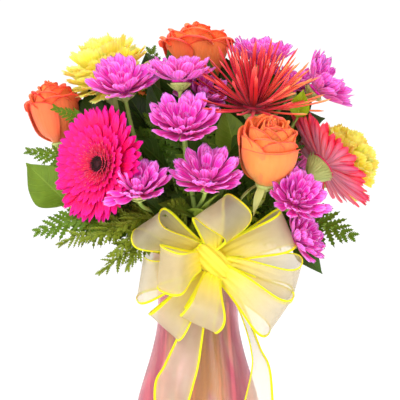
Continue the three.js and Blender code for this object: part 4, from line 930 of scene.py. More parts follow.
def rose(bloom, seed):
    """A rose: cupped petals in rows, each row inside the last, round a tight spiral."""
    name, place, size, flare = bloom["name"], Place(bloom), bloom.get("size", 1), bloom.get("flare", 0)
    heart, slim = place, bloom.get("slim", 1)
    if "heart" in bloom:
        heart = Place({"place": place.at((0, 0, 32)) - 32 * unit(bloom["heart"]), "facing": bloom["heart"]})
    skin, draw = Skin(), Draw(seed)
    if "wrap" in bloom:
        outermost = {"count": 5, "dip": -4, "line": [(7.4, -0.6), (17.8, 9), (22.6, 21), (22.8, 33)]}
        grid = rose_grid(outermost, math.radians(bloom["wrap"]), 0, 1.8, 1, 29, 2.2)
        skin.sheet(place.at(grid * size), 0.7, 0.5)
    for layer, row in enumerate(ROSE["rows"]):
        middle, opened = (place, flare) if layer < 2 else (heart, 0)
        for share in np.arange(row["parts"]) / row["parts"]:
            inward = {**row, "line": [(max(slim * r - 4.4 * share, 0.8), h + 3 * share) for r, h in row["line"]]}
            for k in range(row["count"]):
                turn = TAU * (k + 0.45 * layer + share + draw.off(0.15)) / row["count"]
                lip = row["lip"] * (0.6 + 0.8 * draw.random()) * (1 + flare / 14) * slim**4
                grid = rose_grid(inward, turn, opened, lip, 6 * draw.random())
                skin.sheet(middle.at(grid * size), 0.7, draw.random())
    curl, v = np.linspace(0, 1, 60)[None, :], np.linspace(0, 1, 6)[:, None]
    r = (0.7 + 5.2 * curl) * (1 - 0.12 * v) + 0.8 * np.clip((v - 0.8) / 0.2, 0, 1)
    spiral = polar(r, curl * 5.4 * math.pi, 20 + v * (37.5 - 3.5 * curl))
    skin.sheet(heart.at(spiral * size), 0.6, 0.6)
    place.turned(skin, [(1, -1), (7 * size, -0.6), (9 * size, 4), (7 * size, 20), (4 * size, 34), (0.2, 36)], 18, 0.3)
    skin.shown(name + "_petals", [bloom.get("look", "orange")], "orange_petals", name)


def gerbera_eye(bloom, seed):
    """The eye of a gerbera: a low dome of florets set in a spiral, tallest in a ring near its edge."""
    name, place = bloom["name"], Place(bloom)
    skin, draw = Skin(), Draw(seed)
    count, golden = 170, math.pi * (3 - math.sqrt(5))
    for k in range(count):
        share = math.sqrt((k + 0.5) / count)
        turn, r, lean = k * golden, 9.2 * share, 0.16 * share
        height = 5.4 + 1.6 * math.sin(math.pi * share**1.5) + 0.6 * draw.random()
        line = polar(r * np.array([1, 1 + lean / 2, 1 + lean]), turn, [2.6, height - 0.8, height])
        skin.tube(place.at(line), [0.45, 0.5, 0.16], 4, draw.random() * (0.4 + 0.6 * share))
    place.turned(skin, [(0.5, 3.1), (9.2, 3.2), (9.2, 4.4), (6, 5.4), (0.2, 5.6)], 20, 0.0)
    skin.shown(name + "_florets", ["eye"], "gerbera_eye", name + "_eye")


# ---------------------------------------------------------------- stems
STEM = {"pitch": 8.8, "foot": 13, "splay": 1.3, "neck": 153, "mouth": 204, "mouth_spread": 1.3}


def in_vase(slot, foot):
    """Where a stem passes above the vase's floor, at its neck and at its mouth. A slot is a ring and a number."""
    ring, number = slot
    angle = TAU * number / (6 * ring) if ring else 0
    ways = ((STEM["splay"], foot), (1, STEM["neck"]), (STEM["mouth_spread"], STEM["mouth"]))
    return [polar(ring * STEM["pitch"] * share, angle, z) for share, z in ways]


def reach_to(start, heading, end, facing, steps, pull=0.38):
    """A curve that leaves `start` along `heading` and reaches `end` along `facing`."""
    start, end, span = np.asarray(start, float), np.asarray(end, float), np.linalg.norm(end - start) * pull
    b, c = start + heading * span, end - facing * span
    t = np.linspace(0, 1, steps + 1)[1:, None]
    return list((1 - t) ** 3 * start + 3 * (1 - t) ** 2 * t * b + 3 * (1 - t) * t**2 * c + t**3 * end)


def stem_line(slot, end, facing, steps, count):
    """A stem's line from the vase's floor, which reaches `end` along `facing`."""
    low, neck, mouth = in_vase(slot, STEM["foot"])
    rising = [low + (neck - low) * t for t in (0, 0.25, 0.5, 0.75, 0.94)]
    onward = reach_to(mouth, unit(mouth - neck), end, facing, steps)
    return smooth_line([*rising, neck + (mouth - neck) * 0.2, mouth, *onward], count)


def bracts(skin, place, cup, count, length, width, lift=3, seed=0, curl=-12):
    """Rows of small green scales up a bloom's cup."""
    draw = Draw(seed)
    (low_r, low_h), (top_r, top_h) = cup[-2:]
    steep = math.degrees(math.atan2(top_h - low_h, top_r - low_r))
    for layer, share in enumerate((0.35, 0.1)):
        for k in range(count):
            form = {"turn": TAU * (k + layer / 2 + 0.2 * draw.random()) / count, "outline": POINTED,
                    "root": low_r + (top_r - low_r) * share + 0.2, "base": low_h + (top_h - low_h) * share - 0.3,
                    "length": length * (0.8 + 0.4 * draw.random()), "width": width, "rise": steep + lift,
                    "curl": curl * (0.8 + 0.4 * draw.random()), "hollow": 0.5}
            skin.sheet(place.at(petal_grid(form, 6, 5)), 0.5, draw.random(), 1)


def sepals(skin, place, seed):
    """The pointed leaves that hang from under a rose."""
    draw = Draw(seed)
    for k in range(5):
        form = {"turn": TAU * (k + 0.3) / 5, "outline": POINTED, "root": 5.5, "base": -3.2, "length": 27,
                "width": 7.6, "rise": -24 + 6 * draw.random(), "curl": -40, "hollow": 1.2, "twist": 30 * draw.random(),
                "wave": 0.6, "phase": 6 * draw.random()}
        skin.sheet(place.at(petal_grid(form, 12, 7)), 0.6, draw.random(), 1)


def cup_and_scales(skin, place, kind, size, seed):
    """What a bloom sits in, in the way of its kind."""
    low, *_, top = steps = [(r * size, h) for r, h in kind["cup"]]
    place.turned(skin, [(low[0] * 0.7, low[1] - 2), *steps, (top[0] * 0.6, top[1] + 0.9)], 18, 0.5, 1)
    if kind is ROSE:
        sepals(skin, place, seed)
    elif kind is GERBERA:
        bracts(skin, place, kind["cup"], 26, 9.2, 2.8, 4, seed, -20)
    elif kind is CARNATION:
        bracts(skin, place, [(6.6, -29), (8.6, -14)], 5, 12, 9, 1, seed)
    else:
        bracts(skin, place, [low, top], 13, 7 * size, 3.6, 0, seed)


def seat_of(place, kind):
    return place.at((0, 0, kind["cup"][0][1] + 1))


def bloom_stem(bloom, kind, seed):
    place, skin = Place(bloom), Skin()
    path = stem_line(bloom["slot"], seat_of(place, kind), place.z, 8, 60)
    skin.tube(path, np.linspace(kind["stem"], kind["stem"] * 0.88, 60), 10, 0.5)
    cup_and_scales(skin, place, kind, 1, seed)
    skin.shown(bloom["name"] + "_stalk", ["stem", "calyx"], "stem", bloom["name"] + "_stem")


SPRAY_STEM = {"stem": 2.7, "twig": (2.1, 1.7)}


def spray_stem(spray, seed):
    """One stem from the vase's floor to its fork, and a twig with a green cup to each head."""
    fork, skin = np.array(spray["fork"], float), Skin()
    rising = unit(fork - in_vase(spray["slot"], STEM["foot"])[2])
    trunk = stem_line(spray["slot"], fork, rising, 5, 50)
    skin.tube(trunk, np.linspace(SPRAY_STEM["stem"], SPRAY_STEM["stem"] * 0.95, 50), 10, 0.4)
    for k, head in enumerate(spray["heads"]):
        place = Place(head)
        start = fork - 2 * rising
        twig = np.array([start, *reach_to(start, rising, seat_of(place, DAISY), place.z, 24, 0.3)])
        skin.tube(twig, np.linspace(*SPRAY_STEM["twig"], len(twig)), 8, 0.6)
        cup_and_scales(skin, place, DAISY, head["size"], seed + k)
    skin.shown(spray["name"] + "_branches", ["stem", "calyx"], "stem", spray["name"] + "_stem")


# ---------------------------------------------------------------- vase and water
VASE = {
    "outline": [(45, 0), (56, 7), (60, 28), (54.5, 62), (41.5, 106), (36.4, 134), (37.2, 168), (40.6, 192), (45, 206)],
    "foot": [(0.1, 1.2), (34, 1.2), (38, 0), (43, 0)],
    "wall": 3, "floor": 8, "sides": 128, "water": 150,
}


def lathe(profile):
    """A turned body round the vase's axis, from its profile, which starts and ends on the axis."""
    skin, angle = Skin(), np.linspace(0, TAU, VASE["sides"], endpoint=False)
    skin.loft(np.array([polar(r, angle, z) for r, z in profile]))
    return skin


def vase_and_water():
    outside = smooth_line(VASE["outline"], 65)
    wall, floor, top = VASE["wall"], VASE["floor"], VASE["water"]
    inside = [(r - wall, z) for r, z in outside if z > floor + 6]
    corner = [(inside[0][0] - 7 + 7 * math.sin(t), floor + 6 - 6 * math.cos(t)) for t in np.linspace(0, 1.5, 6)]
    inside = corner + inside
    r, z = outside[-1]
    lip = [math.pi * k / 6 for k in range(1, 6)]
    rim = [(r - wall / 2 + wall / 2 * math.cos(t), z + wall / 3 * math.sin(t)) for t in lip]
    vase = lathe([*VASE["foot"], *outside[2:], *rim, *inside[::-1], (0.1, floor)])
    vase.shown("glass_vase", ["glass"], "glass", "vase")
    wet = [(r - 0.25, z + 0.3) for r, z in inside if z < top - 0.5]
    edge = wet[-1][0]
    water = lathe([(0.1, floor + 0.3), *wet, (edge, top), (edge - 1.5, top - 0.3), (0.1, top - 0.4)])
    water.shown("vase_water", ["water"], "water", "water")


# ---------------------------------------------------------------- fronds
# name, slot, a place on the way, tip, the way it faces, width
FRONDS = [
    ("fern_left", (3, 9), (-70, -4, 262), (-160, -14, 287), (0, -0.7, 0.7), 34),
    ("fern_low_left", (3, 10), (-66, -22, 228), (-149, -32, 212), (0, -0.6, 0.8), 40),
    ("fern_over_rose", (2, 7), (-74, -22, 286), (-136, -38, 322), (0.2, -0.8, 0.5), 28),
    ("fern_top", (1, 2), (-30, 14, 300), (-44, 32, 388), (0, -1, 0.2), 42),
    ("fern_low_right", (2, 11), (76, -16, 240), (138, -36, 217), (0, -0.8, 0.6), 44),
    ("fern_back_left", (3, 7), (-66, 50, 236), (-128, 66, 240), (0, 0.5, 0.8), 50),
    ("fern_back_right", (3, 2), (60, 52, 230), (132, 84, 214), (0, 0.5, 0.8), 48),
    ("fern_back", (3, 5), (-4, 62, 230), (-14, 122, 236), (0, 0.3, 0.9), 50),
    ("cedar_left", (3, 12), (-56, -42, 216), (-127, -50, 196), (0, -0.6, 0.8), 34),
    ("cedar_front", (3, 13), (-34, -56, 220), (-90, -80, 180), (-0.3, -0.7, 0.6), 30),
    ("cedar_right", (3, 17), (54, -12, 226), (108, -40, 236), (0, -0.6, 0.8), 28),
]
FROND = {"blade_from": 0.42, "stalk_to": 0.46, "foot": 20}


def centripetal(points):
    """A centripetal Catmull-Rom curve through points, evenly spread along its length."""
    points = [np.asarray(p, float) for p in points]
    points = [2 * points[0] - points[1], *points, 2 * points[-1] - points[-2]]
    out = []
    for k in range(1, len(points) - 2):
        p = points[k - 1 : k + 3]
        dt = [math.sqrt(np.linalg.norm(p[i + 1] - p[i])) for i in range(3)]
        t1 = ((p[1] - p[0]) / dt[0] - (p[2] - p[0]) / (dt[0] + dt[1]) + (p[2] - p[1]) / dt[1]) * dt[1]
        t2 = ((p[2] - p[1]) / dt[1] - (p[3] - p[1]) / (dt[1] + dt[2]) + (p[3] - p[2]) / dt[2]) * dt[1]
        for t in np.linspace(0, 1, 60, endpoint=k == len(points) - 3):
            a = -3 * p[1] + 3 * p[2] - 2 * t1 - t2
            b = 2 * p[1] - 2 * p[2] + t1 + t2
            out.append(p[1] + t1 * t + a * t * t + b * t**3)
    return spread(np.array(out), 200)


def stalk_line(points, count):
    """A smooth line through a few points, evenly spread along its length."""
    return spread(smooth_line(points, 12 * len(points)), count)


def shifts_by(steps):
    """The shifts that the CAD model tries, the smallest first."""
    every = [np.array((x, y, z), float) for x in steps for y in steps for z in steps]
    return sorted(every, key=np.linalg.norm)


def leafy_curve(slot, via, tip, shift):
    """Where a leafy stem starts, and its curve from the vase's neck to its tip."""
    low, neck, mouth = in_vase(slot, FROND["foot"])
    return low, centripetal([neck, mouth, np.asarray(via, float) + shift, tip])


def pinna(name, pairs, width, forward, notch, look):
    """One leaflet of a frond, 1 long along +Y: a blade cut on both sides into lobes that point forward."""
    t = np.linspace(0, 1, 2 * pairs + 2)[:, None]
    u = np.array([[-1, 0, 1]])
    lobe = np.arange(len(t))[:, None] % 2
    half = (width * (1 - t**2.2) ** 0.8 * np.minimum(1, 0.62 + 2 * t) + 0.012) * np.where(lobe, 1, notch)
    skin = Skin()
    y, z = t + forward * lobe * np.abs(u) * (1 - t), 0.05 * np.abs(u) - 0.12 * t**2
    skin.sheet(np.stack([u * half, y, z], 2), 0.03, 0.5)
    mesh = skin.mesh(name, [look])
    mesh.transform(Matrix.Scale(1 / MM, 4))
    return bpy.data.objects.new(name, mesh)


def joined(tree, *geometries):
    node = put(tree, "GeometryNodeJoinGeometry")
    for geometry in geometries:
        feed(tree, node, {0: geometry})
    return Value(tree, node.outputs[0])


def frond_tree():
    """Leaflets on both sides along a rib: longest below the middle, swept towards the tip and arched down."""
    tree = bpy.data.node_groups.new("frond", "GeometryNodeTree")
    kinds = {"Rib": "Geometry", "Leaflet": "Object", "Pairs": "Int", "Length": "Float", "Sweep": "Float",
             "Droop": "Float", "Face": "Vector", "Wobble": "Float", "Seed": "Int", "Rib Radius": "Float",
             "Material": "Material"}
    for label, kind in kinds.items():
        tree.interface.new_socket(label, in_out="INPUT", socket_type=f"NodeSocket{kind}")
    tree.interface.new_socket("Frond", in_out="OUTPUT", socket_type="NodeSocketGeometry")
    given = tree.nodes.new("NodeGroupInput").outputs
    given = {label: Value(tree, given[label]) for label in kinds}
    line = made("GeometryNodeMeshToCurve", {0: given["Rib"]})
    points = made("GeometryNodeResampleCurve", {"Curve": line, "Count": given["Pairs"]})
    onward = read(tree, "GeometryNodeInputTangent")
    factor = read(tree, "GeometryNodeSplineParameter", "Factor")
    side = vectors("NORMALIZE", vectors("CROSS_PRODUCT", onward, given["Face"]))
    up = vectors("CROSS_PRODUCT", side, onward)
    full = sums("POWER", sums("SINE", sums("MINIMUM", 1.0, factor * 0.8 + 0.2) * math.pi), 0.55)
    size = sums("MAXIMUM", full, 0.34) * given["Length"]
    broad = sums("MAXIMUM", size, given["Length"] * 0.62)
    scale = made("ShaderNodeCombineXYZ", {0: broad, 1: size, 2: size})
    forward = sums("POWER", factor, 5.0) * 3.0 + 0.8
    source = made("GeometryNodeObjectInfo", {"Object": given["Leaflet"], "As Instance": True}, "Geometry")
    sides = []
    for number, hand in enumerate((-1.0, 1.0)):
        swept = vectors("SCALE", onward, given["Sweep"] * forward)
        way = vectors("ADD", vectors("SCALE", side, hand), swept)
        way = vectors("NORMALIZE", vectors("ADD", way, vectors("SCALE", up, given["Droop"] * -1.0)))
        turned = made("FunctionNodeAxesToRotation", {0: way, 1: up}, primary_axis="Y", secondary_axis="Z")
        most = made("ShaderNodeCombineXYZ", dict.fromkeys(range(3), given["Wobble"]))
        seed = given["Seed"] + float(number)
        drawn = made("FunctionNodeRandomValue", {0: vectors("SCALE", most, -1.0), 1: most, "Seed": seed},
                     data_type="FLOAT_VECTOR")
        wobble = made("FunctionNodeEulerToRotation", {0: drawn})
        rotation = made("FunctionNodeRotateRotation", {0: turned, 1: wobble}, rotation_space="LOCAL")
        placed = made("GeometryNodeInstanceOnPoints",
                      {"Points": points, "Instance": source, "Rotation": rotation, "Scale": scale})
        tone = made("FunctionNodeRandomValue", {2: 0.0, 3: 1.0, "Seed": seed}, 1, data_type="FLOAT")
        sides.append(made("GeometryNodeStoreNamedAttribute", {"Geometry": placed, "Name": "tone", "Value": tone},
                          data_type="FLOAT", domain="INSTANCE"))
    loose = made("GeometryNodeRealizeInstances", {0: joined(tree, *sides)})
    profile = made("GeometryNodeCurvePrimitiveCircle", {"Resolution": 6, "Radius": given["Rib Radius"]})
    taper = 1.0 - factor * 0.75
    rib = made("GeometryNodeCurveToMesh", {"Curve": made("GeometryNodeSetCurveRadius", {0: line, 2: taper}),
                                           "Profile Curve": profile, "Scale": taper, "Fill Caps": True})
    solid = made("GeometryNodeRealizeInstances", {0: joined(tree, loose, rib)})
    painted = made("GeometryNodeSetMaterial", {"Geometry": solid, "Material": given["Material"]})
    put(tree, "NodeGroupOutput", {0: painted})
    return tree


FROND_TREE = frond_tree()
# A kind of frond: its leaflet, how far they sweep forward and how much they wobble.
LEAFLETS = {
    "fern": (pinna("fern_leaflet", 5, 0.2, 0.1, 0.42, "fern"), 0.55, 0.14),
    "cedar": (pinna("feathery_leaflet", 5, 0.17, 0.2, 0.28, "cedar"), 0.95, 0.34),
}
MOST_PAIRS = 34


def modelled(points, tree, values):
    """The plain mesh that a geometry tree makes along a line of points."""
    mesh = bpy.data.meshes.new("line")
    mesh.from_pydata([tuple(p * MM) for p in points], [(k, k + 1) for k in range(len(points) - 1)], [])
    carrier = bpy.data.objects.new("line", mesh)
    bpy.context.collection.objects.link(carrier)
    modifier = carrier.modifiers.new("made", "NODES")
    modifier.node_group = tree
    names = {item.name: item.identifier for item in tree.interface.items_tree if item.in_out == "INPUT"}
    for label, value in values.items():
        modifier[names[label]] = value
    ready = carrier.evaluated_get(bpy.context.evaluated_depsgraph_get())
    plain = bpy.data.meshes.new_from_object(ready)
    bpy.data.objects.remove(carrier)
    return plain


def frond_mesh(curve, face, width, look, seed, paint):
    """A frond's blade with its leaflets along the last part of a curve. They end short of its tip."""
    first = int(len(curve) * FROND["blade_from"])
    long = np.linalg.norm(np.diff(curve[first:], axis=0), axis=1).sum()
    leaflet, sweep, wobble = LEAFLETS[look]
    towards = unit(np.asarray(face, float) + (0, math.copysign(0.5, face[1]), 0))
    values = {
        "Leaflet": leaflet, "Pairs": round(min(MOST_PAIRS, long / (0.17 * width))), "Length": width * 0.65 * MM,
        "Sweep": sweep, "Droop": 0.08, "Face": tuple(towards.tolist()), "Wobble": wobble, "Seed": seed,
        "Rib Radius": 0.9 * MM, "Material": LOOKS[paint],
    }
    return modelled(curve[first:-8:4], FROND_TREE, values)


def join_meshes(name, meshes):
    """One mesh from several."""
    from_parts = [bpy.data.objects.new("part", mesh) for mesh in meshes]
    for part in from_parts:
        bpy.context.collection.objects.link(part)
    with bpy.context.temp_override(active_object=from_parts[0], selected_editable_objects=from_parts):
        bpy.ops.object.join()
    whole = from_parts[0].data
    bpy.data.objects.remove(from_parts[0])
    whole.name = name
    return whole


def frond(name, slot, via, tip, face, width, seed):
    """A frond where the CAD model has it: the shift is the one whose tip lies on the CAD node."""
    tree = cad_tree(name)
    best = None
    for shift in shifts_by([0, 9, -9, 18, -18]):
        end = np.asarray(tip, float) + shift * 0.5
        miss = tree.find(end)[2]
        if best is None or miss < best[0] - 0.3:
            best = (miss, shift, end)
    _, shift, end = best
    low, curve = leafy_curve(slot, via, end, shift)
    look, slot_name = ("cedar", "feathery_green") if name.startswith("cedar") else ("fern", "fern_green")
    stalk = Skin()
    lower = [low, *curve[: int(len(curve) * FROND["stalk_to"]) : 12]]
    stalk.tube(stalk_line(lower, 40), np.linspace(1.6, 1.0, 40), 8, 0.4)
    meshes = [frond_mesh(curve, face, width, look, seed, look), stalk.mesh("stalk", ["stem"])]
    shown(name + "_frond", join_meshes(name, meshes), slot_name, name)


# ---------------------------------------------------------------- broad leaves
LEAF_VALUES = "at heading face length width"


def twig(name, slot, via, tip, *leaves):
    """A leafy twig. Each leaf: its share of the twig's upper half, its heading, the way it faces, length, width."""
    return {"name": name, "slot": slot, "via": via, "tip": tip, "leaves": rows_by(LEAF_VALUES, *leaves)}


TWIGS = [
    twig("leaves_left", (3, 8), (-72, 0, 238), (-116, -8, 238),
         (1, (-0.68, -0.28, 0.68), (-0.3, -0.9, 0.2), 54, 40),
         (0.86, (-0.4, 0.2, 0.9), (-0.5, -0.5, 0.5), 52, 34),
         (0.7, (-0.5, 0.7, 0.4), (-0.2, 0.4, 0.9), 54, 34)),
    twig("leaves_centre", (1, 4), (12, -24, 252), (34, -34, 278),
         (1, (-0.25, 0, 1), (0, -1, 0.1), 46, 30),
         (0.86, (-0.85, 0, 0.5), (0, -0.9, 0.4), 54, 34),
         (0.8, (0.8, 0.2, 0.4), (0, -0.8, 0.6), 44, 28),
         (0.6, (-0.7, -0.3, 0.5), (0, -0.9, 0.4), 44, 28)),
    twig("leaves_right", (2, 0), (66, 0, 270), (88, -18, 306),
         (1, (0.2, -0.5, 0.9), (-0.1, -1, 0.1), 32, 18),
         (0.95, (0.8, 0.1, 0.7), (0, -0.9, 0.3), 34, 26),
         (0.7, (0.5, 0.6, 0.3), (0, 0, 1), 48, 32)),
    twig("leaves_low_right", (3, 15), (48, -44, 212), (78, -44, 202),
         (1, (0.76, 0.02, -0.65), (0.2, -0.9, 0.4), 44, 20),
         (0.8, (0.5, -0.4, 0.6), (0, -0.7, 0.7), 36, 22)),
    twig("leaves_top", (1, 1), (10, 24, 300), (20, 30, 346),
         (1, (-0.2, -0.3, 0.9), (0, -1, 0.2), 44, 32),
         (0.9, (0.8, 0.4, 0.6), (0, -0.6, 0.8), 46, 30),
         (0.8, (-0.8, 0.5, 0.5), (0, 0.5, 0.8), 46, 30)),
    twig("leaves_front", (3, 14), (4, -40, 215), (0, -58, 226),
         (1, (-0.7, -0.3, 0.2), (0, -0.6, 0.8), 40, 24),
         (0.9, (0.6, -0.6, 0.2), (0, -0.5, 0.8), 38, 24),
         (0.8, (-0.1, -0.6, -0.2), (0, -0.4, 0.9), 34, 22)),
    twig("leaves_back", (2, 3), (-2, 52, 262), (-4, 84, 296),
         (1, (0.1, 0.6, 0.8), (0, 0.8, 0.4), 50, 34),
         (0.8, (0.8, 0.5, 0.3), (0, 0.6, 0.8), 54, 34),
         (0.62, (-0.8, 0.55, 0.1), (0, 0.6, 0.8), 54, 34)),
]
LEAF = {
    "fold": 0.3, "droop": 0.12,
    "form": [(0, 0.03), (0.15, 0.55), (0.4, 1), (0.66, 0.8), (0.86, 0.34), (0.95, 0.1), (1, 0.02)],
}
# How the CAD model turns and shortens a leaf, and how far its corners may be from the leaf drawn here.
TURNED = (0, 10, -10, 20, -20, 32, -32, 46, -46)
CUT = (1, 0.85, 0.7)
NEAR = 3


def turned_about(vector, axis, degrees):
    """A vector turned about an axis."""
    angle, axis = math.radians(degrees), unit(axis)
    c, s = math.cos(angle), math.sin(angle)
    return vector * c + np.cross(axis, vector) * s + axis * (axis @ vector) * (1 - c)


def leaf_axes(form, turn):
    onward = unit(form["heading"])
    onward = turned_about(onward, unit(np.cross(onward, form["face"])), turn)
    side = unit(np.cross(onward, form["face"]))
    return onward, side, unit(np.cross(side, onward))


def leaf_grid(root, form, turn, share, wave, phase, rows=17, cols=9):
    """A broad leaf's surface: folded up along its rib and drooping towards its tip."""
    onward, side, up = leaf_axes(form, turn)
    v = np.linspace(0, 1, rows)[:, None, None]
    u = np.linspace(-1, 1, cols)[None, :, None]
    half = form["width"] / 2 * read_off(LEAF["form"], v)
    lift = LEAF["fold"] * np.abs(u) ** 1.15 * half - LEAF["droop"] * v**2 * form["length"]
    lift = lift + wave * u**2 * np.sin(phase + 9 * v) * np.sin(math.pi * v)
    return root + onward * v * form["length"] * share + side * u * half + up * lift


def leaf_twig(stem, look, seed):
    """A leafy twig with those of its leaves that the CAD model has, as the CAD model turns them."""
    tree, draw = cad_tree(stem["name"]), Draw(seed)

    def miss_of(form, root, turn, share):
        onward, side, up = leaf_axes(form, turn)
        long, half = form["length"], form["width"] / 2
        tip = root + onward * long * share - up * LEAF["droop"] * long
        rise = up * (LEAF["fold"] * half - LEAF["droop"] * 0.16 * long)
        wide = [root + onward * 0.4 * long * share + side * k * half + rise for k in (-1, 1)]
        return sum(tree.find(p)[2] for p in (tip, *wide))

    best = None
    for shift in shifts_by([0, 8, -8, 16, -16]):
        low, curve = leafy_curve(stem["slot"], stem["via"], np.asarray(stem["tip"], float) + shift, shift)
        kept = []
        for form in stem["leaves"]:
            root = curve[round((len(curve) - 1) * min(1, form["at"] * 0.5 + 0.5))]
            miss, turn, share = min((miss_of(form, root, turn, share), turn, share) for share in CUT for turn in TURNED)
            if miss < NEAR:
                kept.append((form, root, miss, turn, share))
        score = (-len(kept), sum(item[2] for item in kept))
        if best is None or score < best[0]:
            best = (score, low, curve, kept)
    _, low, curve, kept = best
    skin = Skin()
    skin.tube(stalk_line([low, *curve[::16], curve[-1]], 50), np.linspace(1.7, 1.1, 50), 8, 0.4)
    for form, root, _, turn, share in kept:
        skin.sheet(leaf_grid(root, form, turn, share, 1.2, 6 * draw.random()), 0.7, draw.random(), 1)
    skin.shown(stem["name"] + "_twig", ["stem", look], "leaf_green", stem["name"])


# ---------------------------------------------------------------- greenery that the CAD model leaves out
# slot, a place on the way, tip, the way it faces, width, kind
FILL_FRONDS = [
    ((1, 1), (-20, -16, 270), (-46, -30, 322), (0, -1, 0.3), 44, "fern"),
    ((2, 7), (-44, -14, 250), (-84, -22, 306), (0, -1, 0.3), 44, "fern"),
    ((2, 5), (-40, 22, 250), (-90, 26, 300), (0, -0.7, 0.7), 46, "fern"),
    ((1, 3), (-14, 30, 270), (-62, 34, 342), (0, -0.8, 0.5), 44, "fern"),
    ((1, 2), (8, 26, 280), (24, 36, 352), (0, -0.8, 0.5), 44, "fern"),
    ((1, 5), (22, -14, 262), (38, -28, 312), (0, -1, 0.3), 40, "fern"),
    ((2, 1), (50, 22, 262), (98, 28, 318), (0, -0.7, 0.7), 46, "fern"),
    ((2, 11), (56, -20, 250), (92, -34, 292), (0, -0.9, 0.4), 42, "fern"),
    ((3, 15), (40, -52, 232), (56, -74, 246), (0, -0.8, 0.6), 34, "cedar"),
    ((3, 12), (-30, -56, 222), (-48, -76, 226), (-0.2, -0.8, 0.6), 34, "cedar"),
    ((3, 13), (-16, -56, 226), (-26, -78, 238), (0, -0.8, 0.6), 34, "cedar"),
    ((3, 10), (-56, -38, 236), (-100, -48, 226), (0, -0.8, 0.6), 38, "fern"),
    ((3, 11), (-44, -50, 222), (-88, -62, 210), (0, -0.8, 0.6), 34, "cedar"),
    ((3, 16), (50, -36, 226), (104, -50, 252), (0, -0.8, 0.6), 36, "fern"),
    ((3, 12), (-52, -52, 222), (-106, -62, 204), (0, -0.7, 0.7), 34, "cedar"),
    ((3, 13), (-48, -58, 214), (-78, -74, 190), (-0.2, -0.7, 0.6), 32, "cedar"),
    ((3, 11), (-56, -44, 226), (-122, -42, 222), (0, -0.7, 0.7), 38, "fern"),
    ((3, 12), (-44, -58, 226), (-70, -82, 216), (-0.1, -0.8, 0.6), 34, "cedar"),
    ((3, 17), (54, -30, 220), (104, -48, 206), (0.1, -0.7, 0.7), 36, "fern"),
    ((3, 13), (-42, -56, 210), (-64, -70, 178), (-0.2, -0.8, 0.5), 30, "cedar"),
]


def nearest(ring, angle):
    """The slot of a ring that is nearest to an angle."""
    return ring, round(angle / TAU * 6 * ring) % (6 * ring)


def around():
    """More fronds on the sides and at the back, and an inner ring of upright ones."""
    draw, rows = Draw(5), []
    for k in range(11):
        angle = math.radians(-12 + 204 * k / 10)
        c, s, reach = math.cos(angle), math.sin(angle), 84 + 14 * draw.random()
        tip = (reach * c * 1.1, reach * s * 0.9, 226 + 34 * draw.random())
        rows.append((nearest(3, angle), (50 * c, 44 * s, 232), tip, (0.4 * c, 0.4 * s, 0.8), 42, "fern"))
    for k in range(12):
        angle = math.radians(30 * k + 10)
        c, s = math.cos(angle), math.sin(angle)
        tip = (70 * c, 46 * s, 300 + 24 * draw.random())
        rows.append((nearest(2, angle), (30 * c, 22 * s, 256), tip, (c, s, 0.3), 44, "fern"))
    return rows


def filling():
    """The fronds between the blooms, in one piece for each kind. Most of the ferns take a darker copy of the fern's
    colours, as painted shade inside the bouquet.
    """
    rows = list(enumerate(FILL_FRONDS + around()))
    for look, slot_name in (("fern", "fern_green"), ("cedar", "feathery_green")):
        meshes = []
        for k, (slot, via, tip, face, width, _) in (row for row in rows if row[1][-1] == look):
            _, curve = leafy_curve(slot, via, np.asarray(tip, float), 0)
            stalk, bare_part = Skin(), curve[40 : int(len(curve) * FROND["stalk_to"]) : 5]
            stalk.tube(bare_part, np.linspace(1.2, 0.9, len(bare_part)), 6, 0.4)
            # Most of these ferns take the darker copy of the fern's colours: painted shade.
            paint = "shaded_fern_copy" if look == "fern" and k % 4 else look
            meshes += [frond_mesh(curve, face, width, look, 70 + k, paint), stalk.mesh("stalk", ["stem"])]
        shown(f"filling_{look}s", join_meshes(f"filling_{look}s", meshes), slot_name)


# Leaves that stand behind the front's blooms: root, heading, face, length and width.
FILL_LEAVES = [
    ((-70, 6, 300), (-0.8, -0.1, 0.6), (-0.3, -0.9, 0.3), 54, 32),
    ((-62, 12, 306), (-0.5, 0, 0.8), (0, -1, 0.2), 46, 28),
    ((-92, -2, 300), (-0.15, 0, 1), (0, -1, 0.1), 42, 26),
    ((-40, -10, 300), (-0.5, -0.2, 0.8), (0, -1, 0.2), 46, 28),
    ((66, 12, 312), (0.7, 0, 0.6), (0, -1, 0.3), 50, 30),
    ((60, 16, 300), (0.95, 0, 0.3), (0, -1, 0.3), 58, 34),
    ((70, -8, 286), (0.6, -0.1, 0.8), (0, -1, 0.3), 40, 26),
    ((-34, 26, 336), (-0.3, 0.1, 0.9), (0, -1, 0.2), 44, 28),
    ((26, 18, 332), (0.2, 0.1, 0.9), (0, -1, 0.2), 42, 28),
    ((30, 0, 300), (0.5, -0.2, 0.8), (0, -1, 0.2), 48, 30),
    ((70, -30, 236), (0.8, -0.2, -0.3), (0, -0.8, 0.5), 40, 22),
    ((20, -52, 224), (0.7, -0.3, 0.5), (0, -0.8, 0.5), 34, 20),
    ((-20, -52, 222), (-0.6, -0.4, 0.5), (0, -0.8, 0.5), 36, 20),
    ((60, 2, 318), (0.3, 0, 1), (0, -1, 0.2), 46, 30),
    ((74, 6, 306), (0.55, 0, 0.75), (0, -1, 0.3), 48, 30),
    ((50, 8, 326), (-0.05, 0, 1), (0, -1, 0.2), 44, 28),
    ((40, 14, 330), (-0.35, 0.1, 1), (0, -1, 0.2), 44, 28),
    ((80, -46, 206), (0.72, 0, -0.66), (0.2, -0.9, 0.4), 42, 19),
]
# Rings of leaves round the middle of the bouquet: how many, radius, height and rise.
LEAF_RINGS = [(12, 24, 232, 0.25), (13, 30, 262, 0.7), (11, 26, 292, 1.0), (7, 16, 318, 1.3)]


